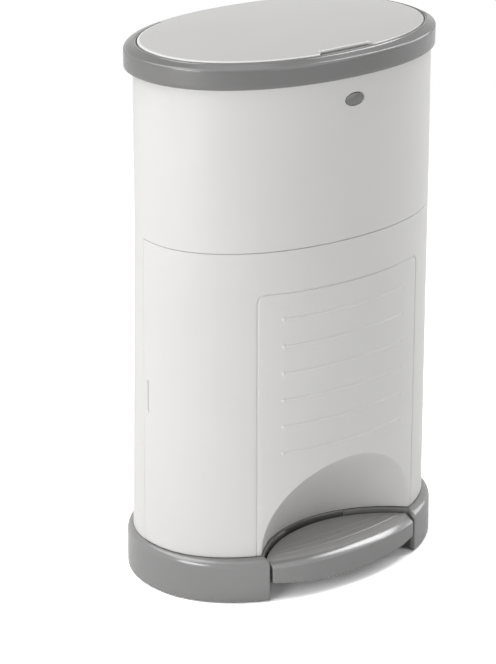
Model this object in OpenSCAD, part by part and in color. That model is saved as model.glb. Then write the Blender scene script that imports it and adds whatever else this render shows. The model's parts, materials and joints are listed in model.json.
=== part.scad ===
// Pedal nappy bin with a film refill: oval base, body with a front door, hinged cover ring and lid.
// Origin: middle of the oval footprint on the floor. +Z up, the front faces -Y. Millimetres.

/* [Overall] */
// Height over the crown of the lid
total_h = 460; // [455:1:480]
// Exponent of the ovals, 2 is a true ellipse
oval_power = 2.15; // [2:0.05:2.4]
// Points round each oval
oval_pts = 72; // [48:8:96]
// Gap between parts that only lie beside each other
part_gap = 0.4; // [0.3:0.05:0.6]
// Wall of the white mouldings
body_wall = 2.4; // [2:0.1:3]

/* [Base] */
// Length of the base, left to right
base_len = 280; // [276:1:290]
// Depth of the base, front to back
base_depth = 200; // [196:1:206]
// Height of the base up to the line where the body starts
base_h = 37.6; // [36:0.2:40]
// Height of the rounded shoulder of the base
base_round = 6.6; // [4:0.2:9]
// Wall of the base
base_wall = 3; // [2.4:0.1:3.4]
// Height of the rubber feet
foot_h = 4; // [3:0.5:6]
// Floor clearance under the wall of the base
base_lift = 1; // [0.6:0.2:1.6]

/* [Body] */
// How far the base stands out past the body at each side
base_step_side = 4.5; // [3:0.5:7]
// How far the base stands out past the body in front and behind
base_step_front = 8.8; // [6:0.2:11]
// Shift of the body's foot to the back
foot_shift = 1.2; // [0:0.2:2]
// How much each side draws in from the foot to the door's top edge
taper_side = 2.1; // [1:0.1:4]
// How much the front and back each draw in from the foot to the door's top edge
taper_front = 3.3; // [2:0.1:5]
// How much each side draws in from the door's top edge to the rim
rim_taper = 0.8; // [0:0.1:2]
// Shift of the upper body to the front
upper_shift = 2.4; // [1:0.2:3]
// Height of the body above the door's top edge
upper_h = 132.5; // [125:0.5:140]
// Height of the cover ring and lid above the body's rim
cap_h = 27.5; // [26.5:0.5:30]

/* [Door] */
// Distance of the door's hinge line inside the body's side
hinge_inset = 9; // [8:0.5:10]
// Radius of the door's hinge edge about its pins
door_edge_r = 15; // [14.5:0.5:16]
// Place of the door's free edge behind the middle
door_edge_y = 9.5; // [8:0.5:11]
// Half width of the framed panel
panel_half = 82.5; // [78:0.5:86]
// Distance of the panel's top edge below the door's top edge
panel_drop = 35.5; // [25:0.5:45]
// Corner radius of the panel
panel_corner = 7; // [4:0.5:12]
// Width of the groove round the panel
groove_w = 1.6; // [1:0.2:2.4]
// Depth of the groove round the panel
groove_d = 1; // [0.6:0.1:1.2]
// Number of ribs on the panel
rib_count = 6; // [4:1:7]
// Distance of the top rib below the panel's top edge
rib_drop = 22.3; // [16:0.1:30]
// Spacing of the ribs
rib_pitch = 23.1; // [18:0.1:24]
// Half length of a rib
rib_half = 62.5; // [50:0.5:70]
// Height of a rib's section
rib_w = 2.2; // [1.6:0.2:3]
// How far a rib stands out
rib_out = 0.9; // [0.6:0.1:1.2]
// Radius of the toe recess at the floor of the door
toe_r = 107; // [104:0.5:109]
// Depth of the toe recess behind the base's front
toe_depth = 59.5; // [56:0.5:62]
// Height over which the toe recess closes
toe_h = 85.9; // [80:0.5:92]
// Height of the finger pull
pull_h = 28.5; // [24:0.5:34]
// Width of the finger pull
pull_w = 7.2; // [5:0.2:9]
// How far the finger pull's middle sits below the door's middle
pull_low = 1.8; // [0:0.2:10]
// Radius of the door's pins
door_pin_r = 2; // [1.8:0.1:2.4]

/* [Pedal] */
// Half width of the pedal
pedal_half = 75.5; // [72:0.5:76]
// Side gap of the pedal in its recess
pedal_side_gap = 2.5; // [2:0.1:4]
// How far the pedal stands out past the base
pedal_out = 0; // [0:0.2:3]
// Depth of the pedal's rounded front edge
pedal_nose = 10; // [6:0.5:11]
// Half width of the step behind the pedal
step_half = 32; // [28:1:36]
// How far the step goes back
step_back = 1.6; // [1:0.2:2]
// Height of the pedal's tread
pedal_top = 34; // [32:0.5:36]
// Thickness of the pedal's plate
pedal_t = 2.6; // [2.2:0.1:3.2]
// Height of the pedal's lower edge at its ends
pedal_low = 16.5; // [15:0.5:18]
// Height of the pedal's lower edge in the middle
pedal_belly = 11; // [10.5:0.5:13]
// Distance of the pedal's axle behind the base's front
axle_back = 67; // [66:0.5:68]
// Height of the pedal's axle
axle_z = 14; // [13.5:0.5:15]
// Radius of the pedal's axle
axle_r = 3; // [2.5:0.1:3.4]
// Width of the lever under the base
lever_w = 16; // [14:1:18]

/* [Push rod] */
// Radius of the push rod
rod_r = 2.5; // [2:0.1:2.8]
// Distance of the push rod in front of the body's rear
rod_inset = 6; // [5.8:0.1:6.4]

/* [Cover ring] */
// How far the cover ring stands out past the body's rim at each side
ring_over_side = 5.4; // [5:0.1:6]
// How far the cover ring stands out past the body's rim in front and behind
ring_over_front = 5.7; // [5.4:0.1:6]
// Shift of the cover ring to the back
ring_shift = 0.9; // [0.5:0.1:1.2]
// Height of the cover ring
ring_h = 19.5; // [18:0.5:21]
// Radius of the ring's rounded shoulder
ring_round = 6.5; // [5:0.5:7]
// Wall of the cover ring
ring_wall = 2.6; // [2.2:0.1:3]
// Radius of the cover's hinge pin
hinge_pin_r = 1.5; // [1.3:0.1:1.6]
// Running clearance of a pin in its turning bore
pin_clear = 0.05; // [0.03:0.01:0.08]

/* [Lid] */
// Width of the rounded ring seen beside the lid
lid_inset = 9; // [8.5:0.1:9.5]
// Half width of the lid's tail over the hinge
tail_half = 64; // [56:1:68]
// Half width of the lid's finger notch at the edge
notch_half = 31.5; // [26:0.5:36]
// Depth of the lid's finger notch
notch_d = 6.8; // [5:0.2:8]

/* [Latch] */
// Length of the oval button
button_w = 20; // [16:0.5:24]
// Height of the oval button
button_h = 11; // [9:0.5:13]
// Distance of the button's middle below the body's rim
button_drop = 18.1; // [15:0.1:20]

/* [Refill] */
// Gap between the refill tub and the body at each side
tub_gap_side = 14.6; // [12:0.2:18]
// Gap between the refill tub and the body in front and behind
tub_gap_front = 9.9; // [9.5:0.1:12]
// Width of the refill tub at each side of the way through
tub_width_side = 32; // [26:1:38]
// Width of the refill tub in front of and behind the way through
tub_width_front = 14; // [12:1:18]
// Height of the refill tub
tub_h = 53; // [45:1:55]
// Wall of the refill tub
tub_wall = 1.8; // [1.4:0.1:2.4]
// Height of the refill's seat above the door's top edge
seat_rise = 36; // [30:1:42]

/* [Hidden] */
$fn = 48;

// Heights
rim_z = total_h - cap_h;
seam_z = rim_z - upper_h;
panel_top = seam_z - panel_drop;
rib_top = panel_top - rib_drop;
pull_z = (base_h + seam_z) / 2 - pull_low;
button_z = rim_z - button_drop;
seat_z = seam_z + seat_rise;
// An oval's section is [half length, half depth, shift to the back]
base_sec = [base_len / 2, base_depth / 2, 0];
foot_sec = [base_sec[0] - base_step_side, base_sec[1] - base_step_front, foot_shift];
seam_sec = [foot_sec[0] - taper_side, foot_sec[1] - taper_front, -upper_shift];
rim_sec = [seam_sec[0] - rim_taper, seam_sec[1], -upper_shift];
ring_sec = [rim_sec[0] + ring_over_side, rim_sec[1] + ring_over_front, ring_shift];
lid_sec = [ring_sec[0] - lid_inset, ring_sec[1] - lid_inset - 0.2, 0];
tub_sec = [rim_sec[0] - tub_gap_side, rim_sec[1] - tub_gap_front, -6];
bore_sec = [tub_sec[0] - tub_width_side, tub_sec[1] - tub_width_front, -6];
// Distance past everything, for cuts
far = base_len;
eps = 0.01;

white = [0.9, 0.9, 0.89];
warm_white = [0.84, 0.83, 0.81];
grey = [0.5, 0.5, 0.5];
dark = [0.28, 0.28, 0.29];
steel = [0.72, 0.73, 0.75];

function mix(p, q, t) = p + (q - p) * t;
function grow(sec, d) = [sec[0] + d, sec[1] + d, sec[2]];
function spow(v, e) = sign(v) * pow(abs(v), e);
function on_oval(sec, t) = [sec[0] * spow(cos(t), 2 / oval_power), sec[2] + sec[1] * spow(sin(t), 2 / oval_power)];
function oval_xy(sec) = [for (i = [0 : oval_pts - 1]) on_oval(sec, 360 * i / oval_pts)];
// Front edge of an oval at a distance x from the middle
function front_y(sec, x) = sec[2] - sec[1] * pow(1 - pow(abs(x / sec[0]), oval_power), 1 / oval_power);
function back_y(sec, x) = sec[2] + sec[1] * pow(1 - pow(abs(x / sec[0]), oval_power), 1 / oval_power);
// Section of the body at a height: it narrows from the foot to the seam and again to the rim
function body_at(z) = z < seam_z
    ? mix(foot_sec, seam_sec, (z - base_h) / (seam_z - base_h))
    : mix(seam_sec, rim_sec, (z - seam_z) / (rim_z - seam_z));

// Solid through a stack of [section, height], lowest first
module loft(levels) {
    n = oval_pts;
    m = len(levels);
    polyhedron(
        points = [for (lv = levels) for (p = oval_xy(lv[0])) [p[0], p[1], lv[1]]],
        faces = concat(
            [[for (i = [0 : n - 1]) i]],
            [for (k = [0 : m - 2]) for (i = [0 : n - 1]) let (j = (i + 1) % n)
                [k * n + i, (k + 1) * n + i, (k + 1) * n + j]],
            [for (k = [0 : m - 2]) for (i = [0 : n - 1]) let (j = (i + 1) % n)
                [k * n + i, (k + 1) * n + j, k * n + j]],
            [[for (i = [n - 1 : -1 : 0]) (m - 1) * n + i]]),
        convexity = 6);
}
module prism(sec, z0, z1) {
    translate([0, 0, z0]) linear_extrude(z1 - z0) polygon(oval_xy(sec));
}
module oval_ring(outer, inner, z0, z1) {
    difference() {
        prism(outer, z0, z1);
        prism(inner, z0 - 1, z1 + 1);
    }
}
// Body of the bin between two heights, grown or shrunk all round
module body_solid(z0, z1, d = 0) {
    mid = z0 < seam_z && z1 > seam_z ? [[grow(body_at(seam_z), d), seam_z]] : [];
    loft(concat([[grow(body_at(z0), d), z0]], mid, [[grow(body_at(z1), d), z1]]));
}
module box(x0, x1, y0, y1, z0, z1) {
    translate([x0, y0, z0]) cube([x1 - x0, y1 - y0, z1 - z0]);
}
// Round bar along X
module rod_x(r, x0, x1, y, z) {
    translate([x0, y, z]) rotate([0, 90, 0]) cylinder(r = r, h = x1 - x0);
}
// Outline in Y and Z, as thick as x0 to x1
module side_plate(x0, x1, points) {
    translate([x0, 0, 0]) rotate([90, 0, 90]) linear_extrude(x1 - x0) polygon(points);
}
module both_sides() {
    children();
    mirror([1, 0, 0]) children();
}

// Heights and places that several parts share
ring_z = rim_z + 0.5;
ring_top = ring_z + ring_h;
ledge_z = ring_top - 1.9;
lid_z = ledge_z + part_gap;
lid_edge_top = lid_z + 2.4;
flange_t = 2.6;
flange_z = ring_z;
lip_z = ring_z + 9;
lip_sec = grow(lid_sec, -10.6);
lip_w = 2.6;
cover_axis = [back_y(rim_sec, 0) + 4, ring_z + 2.5];
lid_axis = [cover_axis[0] - 0.5, ring_z + 12.5];
rod_y = back_y(rim_sec, 0) - rod_inset;
cover_barrel_r = 3.2;
lid_barrel_r = 5.4;
lug_half = 13;
knuckle_end = 26;
lid_barrel_half = 30;
ear_end = 38;
deck_t = 3;
deck_low = base_h - deck_t;
toe_cy = toe_depth - toe_r - base_depth / 2;
axle_y = base_depth / 2 - axle_back;
door_hinge_x = foot_sec[0] - hinge_inset;
recess_half = pedal_half + pedal_side_gap;
recess_r = toe_r - 2;
pedal_back_r = recess_r - 2;
crank_reach = lid_axis[0] - rod_y;
crank_drop = crank_reach * tan(37.5);
crank_t = 4;
// The crank's end stays clear of the funnel's lip
crank_l = lid_axis[0] - back_y(grow(lip_sec, lip_w), 0) - 0.6;
rod_tip_z = lid_axis[1] - crank_drop - (rod_r + crank_t / 2 + 0.3) / cos(37.5);
lever_t = 4.4;
rod_foot_z = axle_z + lever_t / 2 + 0.3;
pedal_screw_y = [16 - base_depth / 2, 38 - base_depth / 2];
lever_end = rod_y + 6.5;
// Radius of the arch under the pedal
belly_r = (pedal_half * pedal_half + pow(pedal_low - pedal_belly, 2)) / (2 * (pedal_low - pedal_belly));
throat_sec = grow(bore_sec, -12);
tub_z = seat_z + 3;
throat_z = tub_z + tub_h + 6;
foot_spots = [for (t = [45, 135, 203, 337]) on_oval(grow(base_sec, -20), t)];
screw_spots = [for (t = [30, 70, 110, 150]) on_oval(grow(foot_sec, -body_wall - 3), t)];
cover_screw_spots = [for (t = [30, 150, 210, 330]) on_oval(grow(ring_sec, -ring_wall - 5), t)];

// Base: an open tray turned upside down, with the pedal's recess let into its front
module base_shoulder() {
    line = grow(foot_sec, part_gap);
    loft(concat(
        [[grow(base_sec, -0.8), base_lift], [base_sec, base_lift + 1.2]],
        [for (i = [0 : 6]) let (t = 15 * i)
            [mix(base_sec, line, 1 - cos(t)), base_h - base_round + base_round * sin(t)]]));
}
module recess_plan(d) {
    intersection() {
        union() {
            translate([0, toe_cy]) circle(r = recess_r + d, $fn = 96);
            intersection() {
                translate([0, toe_cy]) circle(r = recess_r + d + step_back, $fn = 96);
                translate([-step_half - d, -base_depth]) square([2 * (step_half + d), 2 * base_depth]);
            }
        }
        translate([-recess_half - d, -base_depth]) square([2 * (recess_half + d), base_depth]);
    }
}
module base_tray() color(grey) difference() {
    union() {
        difference() {
            base_shoulder();
            difference() {
                prism(grow(base_sec, -base_wall), -1, deck_low);
                translate([0, 0, -2]) linear_extrude(base_h + 4) recess_plan(base_wall);
                for (p = foot_spots) translate([p[0], p[1], -2]) cylinder(r = 10, h = base_h);
                both_sides() box(lever_w / 2 + 1, lever_w / 2 + 5, -axle_y - 7, -axle_y + 6, axle_z - 6, base_h);
            }
        }
        // Upstand inside the foot of the body
        difference() {
            oval_ring(grow(foot_sec, -body_wall - part_gap), grow(foot_sec, -body_wall - part_gap - 2),
                base_h - eps, base_h + 4);
            box(-far, far, -far, door_edge_y + 14, base_h - 1, base_h + 5);
            for (p = screw_spots) translate([p[0], p[1], base_h]) cylinder(r = 5.4, h = 5);
            box(-8, 8, 0, far, base_h, base_h + 5);
        }
    }
    translate([0, 0, -2]) linear_extrude(base_h + 8) recess_plan(0);
    for (p = foot_spots) translate([p[0], p[1], -1]) cylinder(r = 8, h = foot_h + 1);
    for (p = screw_spots) translate([p[0], p[1], 0]) cylinder(r = 2.1, h = base_h + 8);
    translate([door_hinge_x, 0, deck_low - 1]) cylinder(r = door_pin_r, h = deck_t + 2);
    translate([0, rod_y, deck_low - 1]) cylinder(r = rod_r + 1.5, h = deck_t + 2);
    rod_x(axle_r, -lever_w, lever_w, -axle_y, axle_z);
    box(-lever_w / 2 - 1, lever_w / 2 + 1, -axle_y - 16, -axle_y - 3, axle_z - 8, axle_z + 12.5);
}
module rubber_feet() color(dark) for (p = foot_spots) translate([p[0], p[1], 0])
    rotate_extrude() polygon([[0, 0], [6.6, 0], [8, 1.2], [8, foot_h], [0, foot_h]]);
module base_screws() color(steel) for (p = screw_spots) translate([p[0], p[1], 0]) {
    translate([0, 0, deck_low - 2.4]) cylinder(r = 3.6, h = 2.4);
    translate([0, 0, deck_low - eps]) cylinder(r = 1.8, h = 19);
}

// Body shell: a drafted oval tube with the whole front below the seam left open for the door
module door_plan(d) {
    translate([-far, -far]) square([far + eps, far + door_edge_y + d]);
    translate([0, -far]) square([far, far + d]);
    translate([door_hinge_x, 0]) circle(r = door_edge_r + d, $fn = 96);
}
module body_shell() color(white) difference() {
    union() {
        difference() {
            body_solid(base_h, rim_z);
            body_solid(base_h - 1, rim_z + 1, -body_wall);
        }
        // Shelf under the refill's seat
        difference() {
            body_solid(seat_z - 2.8, seat_z - part_gap, -body_wall / 2);
            prism(grow(body_at(seat_z), -body_wall - 4.5), seat_z - 5, seat_z + 2);
        }
        // Stop behind the door's top edge
        intersection() {
            difference() {
                body_solid(seam_z - 6, seam_z + 5, -body_wall - 1.5);
                body_solid(seam_z - 7, seam_z + 6, -body_wall - 3.5);
            }
            box(-seam_sec[0] + 15, seam_sec[0] - 25, -far, -20, seam_z - 6, seam_z + 5);
        }
        intersection() {
            difference() {
                body_solid(seam_z + 2.5, seam_z + 5, -body_wall / 2);
                body_solid(seam_z + 2, seam_z + 6, -body_wall - 2.5);
            }
            box(-seam_sec[0] + 15, seam_sec[0] - 25, -far, -20, seam_z - 6, seam_z + 5);
        }
        // Ear for the door's top pin
        intersection() {
            body_solid(seam_z + 0.6, seam_z + 8, -body_wall / 2);
            union() {
                translate([door_hinge_x, 0, seam_z]) cylinder(r = 6, h = 10);
                box(door_hinge_x, far, -6, 6, seam_z, seam_z + 10);
            }
        }
        // Bosses for the screws that hold the base
        intersection() {
            body_solid(base_h, seam_z, -body_wall / 2);
            for (p = screw_spots) translate([p[0], p[1], base_h]) cylinder(r = 5, h = 20);
        }
        // Lug of the cover's hinge
        side_plate(-lug_half, lug_half, [[back_y(rim_sec, 0) - body_wall, rim_z - 16],
            [cover_axis[0] + cover_barrel_r, cover_axis[1]], [cover_axis[0] - cover_barrel_r, cover_axis[1]],
            [back_y(rim_sec, 0) - 1, rim_z - 2], [back_y(rim_sec, 0) - body_wall, rim_z - 2]]);
        rod_x(cover_barrel_r, -lug_half, lug_half, cover_axis[0], cover_axis[1]);
    }
    translate([0, 0, base_h - 2]) linear_extrude(seam_z - base_h + 2) door_plan(part_gap);
    translate([door_hinge_x, 0, seam_z]) cylinder(r = door_pin_r, h = 7);
    for (p = screw_spots) translate([p[0], p[1], base_h - 1]) cylinder(r = 1.8, h = 18);
    rod_x(hinge_pin_r + pin_clear, -lug_half - 1, lug_half + 1, cover_axis[0], cover_axis[1]);
    box(-5, 5, rod_y - 4, rod_y + 3.4, seat_z - 4, seat_z);
    button_hole(0.5);
}
// Oval of the release button, along Y
module button_prism(d, y0, y1) {
    translate([0, y1, button_z]) rotate([90, 0, 0]) linear_extrude(y1 - y0)
        polygon([for (t = [0 : 7.5 : 359]) [(button_w / 2 + d) * cos(t), (button_h / 2 + d) * sin(t)]]);
}
module button_hole(d) {
    button_prism(d, front_y(rim_sec, 0) - 9, front_y(rim_sec, 0) + 9);
}

// Door: the front of the body with a framed, ribbed panel over a domed toe recess
function toe_profile(d) = concat([[0, base_h - 3], [toe_r + d, base_h - 3]],
    [for (i = [0 : 12]) let (t = i * 7.2) [(toe_r + d) * cos(t), base_h + (toe_h + d) * sin(t)]],
    [[0, base_h + (toe_h + d)]]);
module toe_dome(d) {
    translate([0, toe_cy, 0]) rotate_extrude($fn = 96) polygon(toe_profile(d));
}
module panel_outline(d) {
    r = panel_corner;
    w = panel_half + d;
    h = panel_top - base_h + 5 + d;
    translate([0, base_h - 5]) polygon(concat([[-w, 0], [w, 0]],
        [for (t = [0 : 15 : 90]) [w - r + r * cos(t), h - r + r * sin(t)]],
        [for (t = [90 : 15 : 180]) [-w + r + r * cos(t), h - r + r * sin(t)]]));
}
module panel_slab(d) {
    rotate([90, 0, 0]) linear_extrude(far) panel_outline(d);
}
module ribs() {
    z0 = rib_top - (rib_count - 1) * rib_pitch;
    intersection() {
        difference() {
            body_solid(z0 - 3, rib_top + 3, rib_out);
            body_solid(z0 - 4, rib_top + 4, -body_wall / 2);
        }
        for (i = [0 : rib_count - 1]) translate([0, -base_depth / 4, rib_top - i * rib_pitch])
            rotate([90, 0, 0]) linear_extrude(base_depth) {
                square([2 * rib_half, rib_w], center = true);
                for (s = [-1, 1]) translate([s * rib_half, 0]) circle(r = rib_w / 2, $fn = 24);
            }
    }
}
module front_door() color(white) {
    z0 = base_h + part_gap;
    z1 = seam_z - part_gap;
    difference() {
        union() {
            intersection() {
                difference() {
                    body_solid(z0, z1);
                    body_solid(z0 - 1, z1 + 1, -body_wall);
                }
                translate([0, 0, z0 - 1]) linear_extrude(z1 - z0 + 2) door_plan(0);
            }
            ribs();
            intersection() {
                toe_dome(body_wall);
                body_solid(z0, z1, -body_wall / 2);
            }
            // Hinge barrels
            intersection() {
                body_solid(z0, z1, -body_wall / 2);
                for (z = [z0, z1 - 22]) {
                    translate([door_hinge_x, 0, z]) cylinder(r = 4.6, h = 22);
                    box(door_hinge_x, far, -4.6, 4.6, z, z + 22);
                }
            }
        }
        toe_dome(0);
        difference() {
            intersection() {
                body_solid(base_h - 2, seam_z, 3);
                difference() {
                    panel_slab(groove_w);
                    panel_slab(0);
                }
            }
            body_solid(base_h - 3, seam_z + 1, -groove_d);
        }
        // Finger pull in the free edge
        difference() {
            box(-far, 0, door_edge_y - pull_w, door_edge_y + 1, pull_z - pull_h / 2, pull_z + pull_h / 2);
            body_solid(pull_z - pull_h, pull_z + pull_h, -1.4);
        }
        translate([door_hinge_x, 0, z0 - 1]) cylinder(r = door_pin_r + pin_clear, h = 20);
        translate([door_hinge_x, 0, z1 - 18]) cylinder(r = door_pin_r + pin_clear, h = 20);
    }
}
module door_pins() color(steel) {
    translate([door_hinge_x, 0, deck_low]) cylinder(r = door_pin_r, h = 18);
    translate([door_hinge_x, 0, seam_z - 15]) cylinder(r = door_pin_r, h = 22);
}

// Pedal: a lens-shaped tread with a rolled front and ribs below
pedal_sec = grow(base_sec, pedal_out);
module pedal_plan(d) {
    intersection() {
        polygon(oval_xy(grow(pedal_sec, d)));
        translate([0, toe_cy]) circle(r = pedal_back_r + d, $fn = 96);
        translate([-pedal_half - d, -base_depth]) square([2 * (pedal_half + d), base_depth]);
    }
}
module pedal() color(grey) difference() {
    union() {
        difference() {
            intersection() {
                translate([0, 0, pedal_belly]) linear_extrude(pedal_top - pedal_belly) pedal_plan(0);
                loft(concat([[pedal_sec, pedal_belly - 1]],
                    [for (i = [0 : 5]) let (t = 18 * i)
                        [grow(pedal_sec, -pedal_nose * (1 - cos(t))), pedal_top - 5 + 5 * sin(t)]]));
            }
            translate([0, 0, pedal_belly - 1]) linear_extrude(pedal_top - pedal_t - pedal_belly + 1)
                pedal_plan(-pedal_t);
        }
        // Cheeks that hold the lever
        both_sides() side_plate(lever_w / 2 + part_gap, lever_w / 2 + 3,
            [for (q = [[8, pedal_top - 1], [8, 26], [30, 20], [48, 20], [53, 28], [53, pedal_top - 1]])
                [q[0] - base_depth / 2, q[1]]]);
    }
    // Lower edge arched from a deep middle to shallow ends
    difference() {
        box(-base_len, base_len, -base_depth, 0, 0, pedal_low);
        translate([0, 0, pedal_belly + belly_r]) rotate([90, 0, 0]) cylinder(r = belly_r, h = base_depth, $fn = 96);
    }
    // Way out for the lever
    box(-lever_w / 2 - part_gap, lever_w / 2 + part_gap, -axle_y - 19, 0, 0, pedal_top - pedal_t - 0.8);
    for (y = pedal_screw_y) translate([0, y, pedal_top - 5]) cylinder(r = 1.3, h = 3.4);
    // Fine grooves on the tread
    for (r = [0, 9]) translate([0, 0, pedal_top - 0.5]) difference() {
        linear_extrude(1) intersection() {
            polygon(oval_xy(grow(pedal_sec, -12 - r)));
            translate([0, toe_cy]) circle(r = pedal_back_r - 4, $fn = 96);
        }
        translate([0, 0, -1]) linear_extrude(3) polygon(oval_xy(grow(pedal_sec, -12.9 - r)));
    }
}
module pedal_lever() color(dark) difference() {
    union() {
        side_plate(-lever_w / 2, lever_w / 2, [[lever_end, axle_z - lever_t / 2], [lever_end, axle_z + lever_t / 2],
            [-axle_y + 8, axle_z + lever_t / 2], [-axle_y - 4, axle_z + 7], [-axle_y - 19, pedal_top - pedal_t],
            [-axle_y - 57, pedal_top - pedal_t], [-axle_y - 57, pedal_top - pedal_t - 3],
            [-axle_y - 27, pedal_top - pedal_t - 4],
            [-axle_y - 10, axle_z - 3], [-axle_y, axle_z - 6], [-axle_y + 10, axle_z - lever_t / 2]]);
        rod_x(6, -lever_w / 2, lever_w / 2, -axle_y, axle_z);
    }
    rod_x(axle_r + pin_clear, -lever_w, lever_w, -axle_y, axle_z);
    for (y = pedal_screw_y) translate([0, y, 20]) cylinder(r = 1.6, h = 14);
}
module pedal_screws() color(steel) for (y = pedal_screw_y) translate([0, y, 0]) {
    translate([0, 0, pedal_top - pedal_t - 5.9]) cylinder(r = 3, h = 2);
    translate([0, 0, pedal_top - pedal_t - 4]) cylinder(r = 1.3, h = 5.4);
}
module pedal_axle() color(steel) rod_x(axle_r, -lever_w / 2 - 5, lever_w / 2 + 5, -axle_y, axle_z);

// Push rod from the lever up to the lid's crank, and the channel that keeps the bag off it
module push_rod() color(steel) translate([0, rod_y, 0]) {
    translate([0, 0, rod_foot_z + rod_r]) cylinder(r = rod_r, h = rod_tip_z - rod_foot_z - rod_r);
    translate([0, 0, rod_foot_z + rod_r]) sphere(r = rod_r);
    translate([0, 0, rod_tip_z]) sphere(r = rod_r);
}
module rod_cover() color(white) intersection() {
    body_solid(base_h, seat_z - 6, -body_wall);
    difference() {
        box(-7.5, 7.5, rod_y - 5, far, base_h, seat_z - 6);
        box(-5.5, 5.5, rod_y - 3.2, far, base_h - 1, seat_z);
    }
}

// Cover ring: a hollow rounded collar with a ledge for the lid, hinged at the rear
rest_sec = grow(lid_sec, 1);
ledge_sec = grow(lid_sec, -4);
module ring_form() {
    loft(concat([[grow(ring_sec, -0.7), ring_z], [ring_sec, ring_z + 0.7]],
        [for (i = [0 : 6]) let (t = 15 * i)
            [mix(ring_sec, rest_sec, 1 - cos(t)), ring_top - ring_round + ring_round * sin(t)]]));
}
module cover_ring() color(grey) difference() {
    union() {
        difference() {
            ring_form();
            prism(grow(ring_sec, -ring_wall), ring_z - 1, ledge_z - 3);
            prism(rest_sec, ledge_z, ring_top + 1);
            prism(ledge_sec, ring_z - 1, ring_top + 1);
            // Room for the lid's tail and barrel
            box(-tail_half - 0.6, tail_half + 0.6, lid_axis[0] - 23, far, ledge_z - eps, ring_top + 1);
            box(-tail_half - 0.6, tail_half + 0.6, lid_axis[0] - 4.5, far, ring_z + 13, ring_top + 1);
            rod_x(lid_barrel_r + 0.5, -tail_half - 0.6, tail_half + 0.6, lid_axis[0], lid_axis[1]);
        }
        intersection() {
            prism(grow(ring_sec, -ring_wall / 2), ring_z + flange_t, ledge_z - 1);
            for (p = cover_screw_spots) translate([p[0], p[1], 0]) cylinder(r = 3.4, h = ledge_z - 1);
        }
        // Knuckles of the cover's hinge and ears for the lid's pins
        intersection() {
            prism(grow(ring_sec, -ring_wall / 2), ring_z - 1, ring_top);
            both_sides() {
                rod_x(cover_barrel_r, lug_half + part_gap, knuckle_end, cover_axis[0], cover_axis[1]);
                box(lug_half + part_gap, knuckle_end, cover_axis[0], cover_axis[0] + 4.5, ring_z,
                    cover_axis[1] + cover_barrel_r);
                side_plate(lid_barrel_half + part_gap, ear_end, [for (q = [[-5, flange_t - 12.5], [5, flange_t - 12.5],
                    [5, -4], [3.6, 0], [-3.6, 0]]) [lid_axis[0] + q[0], lid_axis[1] + q[1]]]);
                rod_x(3.6, lid_barrel_half + part_gap, ear_end, lid_axis[0], lid_axis[1]);
            }
        }
        // Catch for the latch
        box(-8, 8, front_y(ring_sec, 0) + ring_wall / 2, front_y(ring_sec, 0) + ring_wall + 2.5,
            ring_z + 4.5, ring_z + 7);
    }
    // Lug of the body, crank and push rod
    box(-lug_half - part_gap, lug_half + part_gap, cover_axis[0] - 7, far, ring_z - 1,
        cover_axis[1] + cover_barrel_r + 0.5);
    box(-6.4, 6.4, rod_y - 5.5, far, ring_z - 1, ring_top + 1);
    rod_x(hinge_pin_r, -knuckle_end, knuckle_end, cover_axis[0], cover_axis[1]);
    both_sides() rod_x(hinge_pin_r, lid_barrel_half, ear_end, lid_axis[0], lid_axis[1]);
    for (p = cover_screw_spots) translate([p[0], p[1], ring_z]) cylinder(r = 1.4, h = 12);
}
module cover_hinge_pin() color(steel)
    rod_x(hinge_pin_r, -knuckle_end, knuckle_end, cover_axis[0], cover_axis[1]);

// Funnel that closes the ring from below, with a raised lip for the lid's seal
module funnel_form(d) {
    loft(concat([[grow(throat_sec, d), throat_z - (d > 0 ? 0 : 1)]],
        [for (i = [0 : 8]) let (u = i / 8)
            [grow(mix(throat_sec, lip_sec, 1 - pow(1 - u * u, 0.7)), d), throat_z + 5 + (lip_z - 9 - throat_z - 5) * u]],
        [[grow(lip_sec, d), lip_z + (d > 0 ? 0 : 1)]]));
}
module throat_funnel() color(grey) difference() {
    union() {
        prism(grow(ring_sec, -ring_wall), ring_z, ring_z + flange_t);
        funnel_form(2);
        prism(grow(lip_sec, lip_w), ring_z, lip_z);
    }
    funnel_form(0);
    box(-knuckle_end - 0.8, knuckle_end + 0.8, cover_axis[0] - 5.5, far, ring_z - 1, lip_z);
    box(-6.4, 6.4, rod_y - 3.1, far, ring_z - 1, lip_z + 1);
    box(-10.6, 10.6, -far, slide_y + 6.4, ring_z - 1, lip_z + 1);
    for (p = cover_screw_spots) translate([p[0], p[1], ring_z - 1]) cylinder(r = 1.4, h = 12);
}
module cover_screws() color(steel) for (p = cover_screw_spots) translate([p[0], p[1], 0]) {
    translate([0, 0, ring_z]) cylinder(r = 1.4, h = 12);
    translate([0, 0, ring_z + 0.2]) cylinder(r = 2.8, h = 1.4);
}
// Rubber collar between the funnel's throat and the refill
module throat_seal() color(dark) difference() {
    union() {
        prism(grow(throat_sec, 5), throat_z, throat_z + 4);
        loft([[grow(throat_sec, 15), throat_z - 3], [grow(throat_sec, 15), throat_z - 1.4],
            [grow(throat_sec, 5), throat_z + 1.5]]);
    }
    prism(grow(throat_sec, 2), throat_z - 5, throat_z + 5);
    loft([[grow(throat_sec, 14), throat_z - 3.5], [grow(throat_sec, 13.4), throat_z - 2.8],
        [grow(throat_sec, 2), throat_z]]);
}

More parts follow.
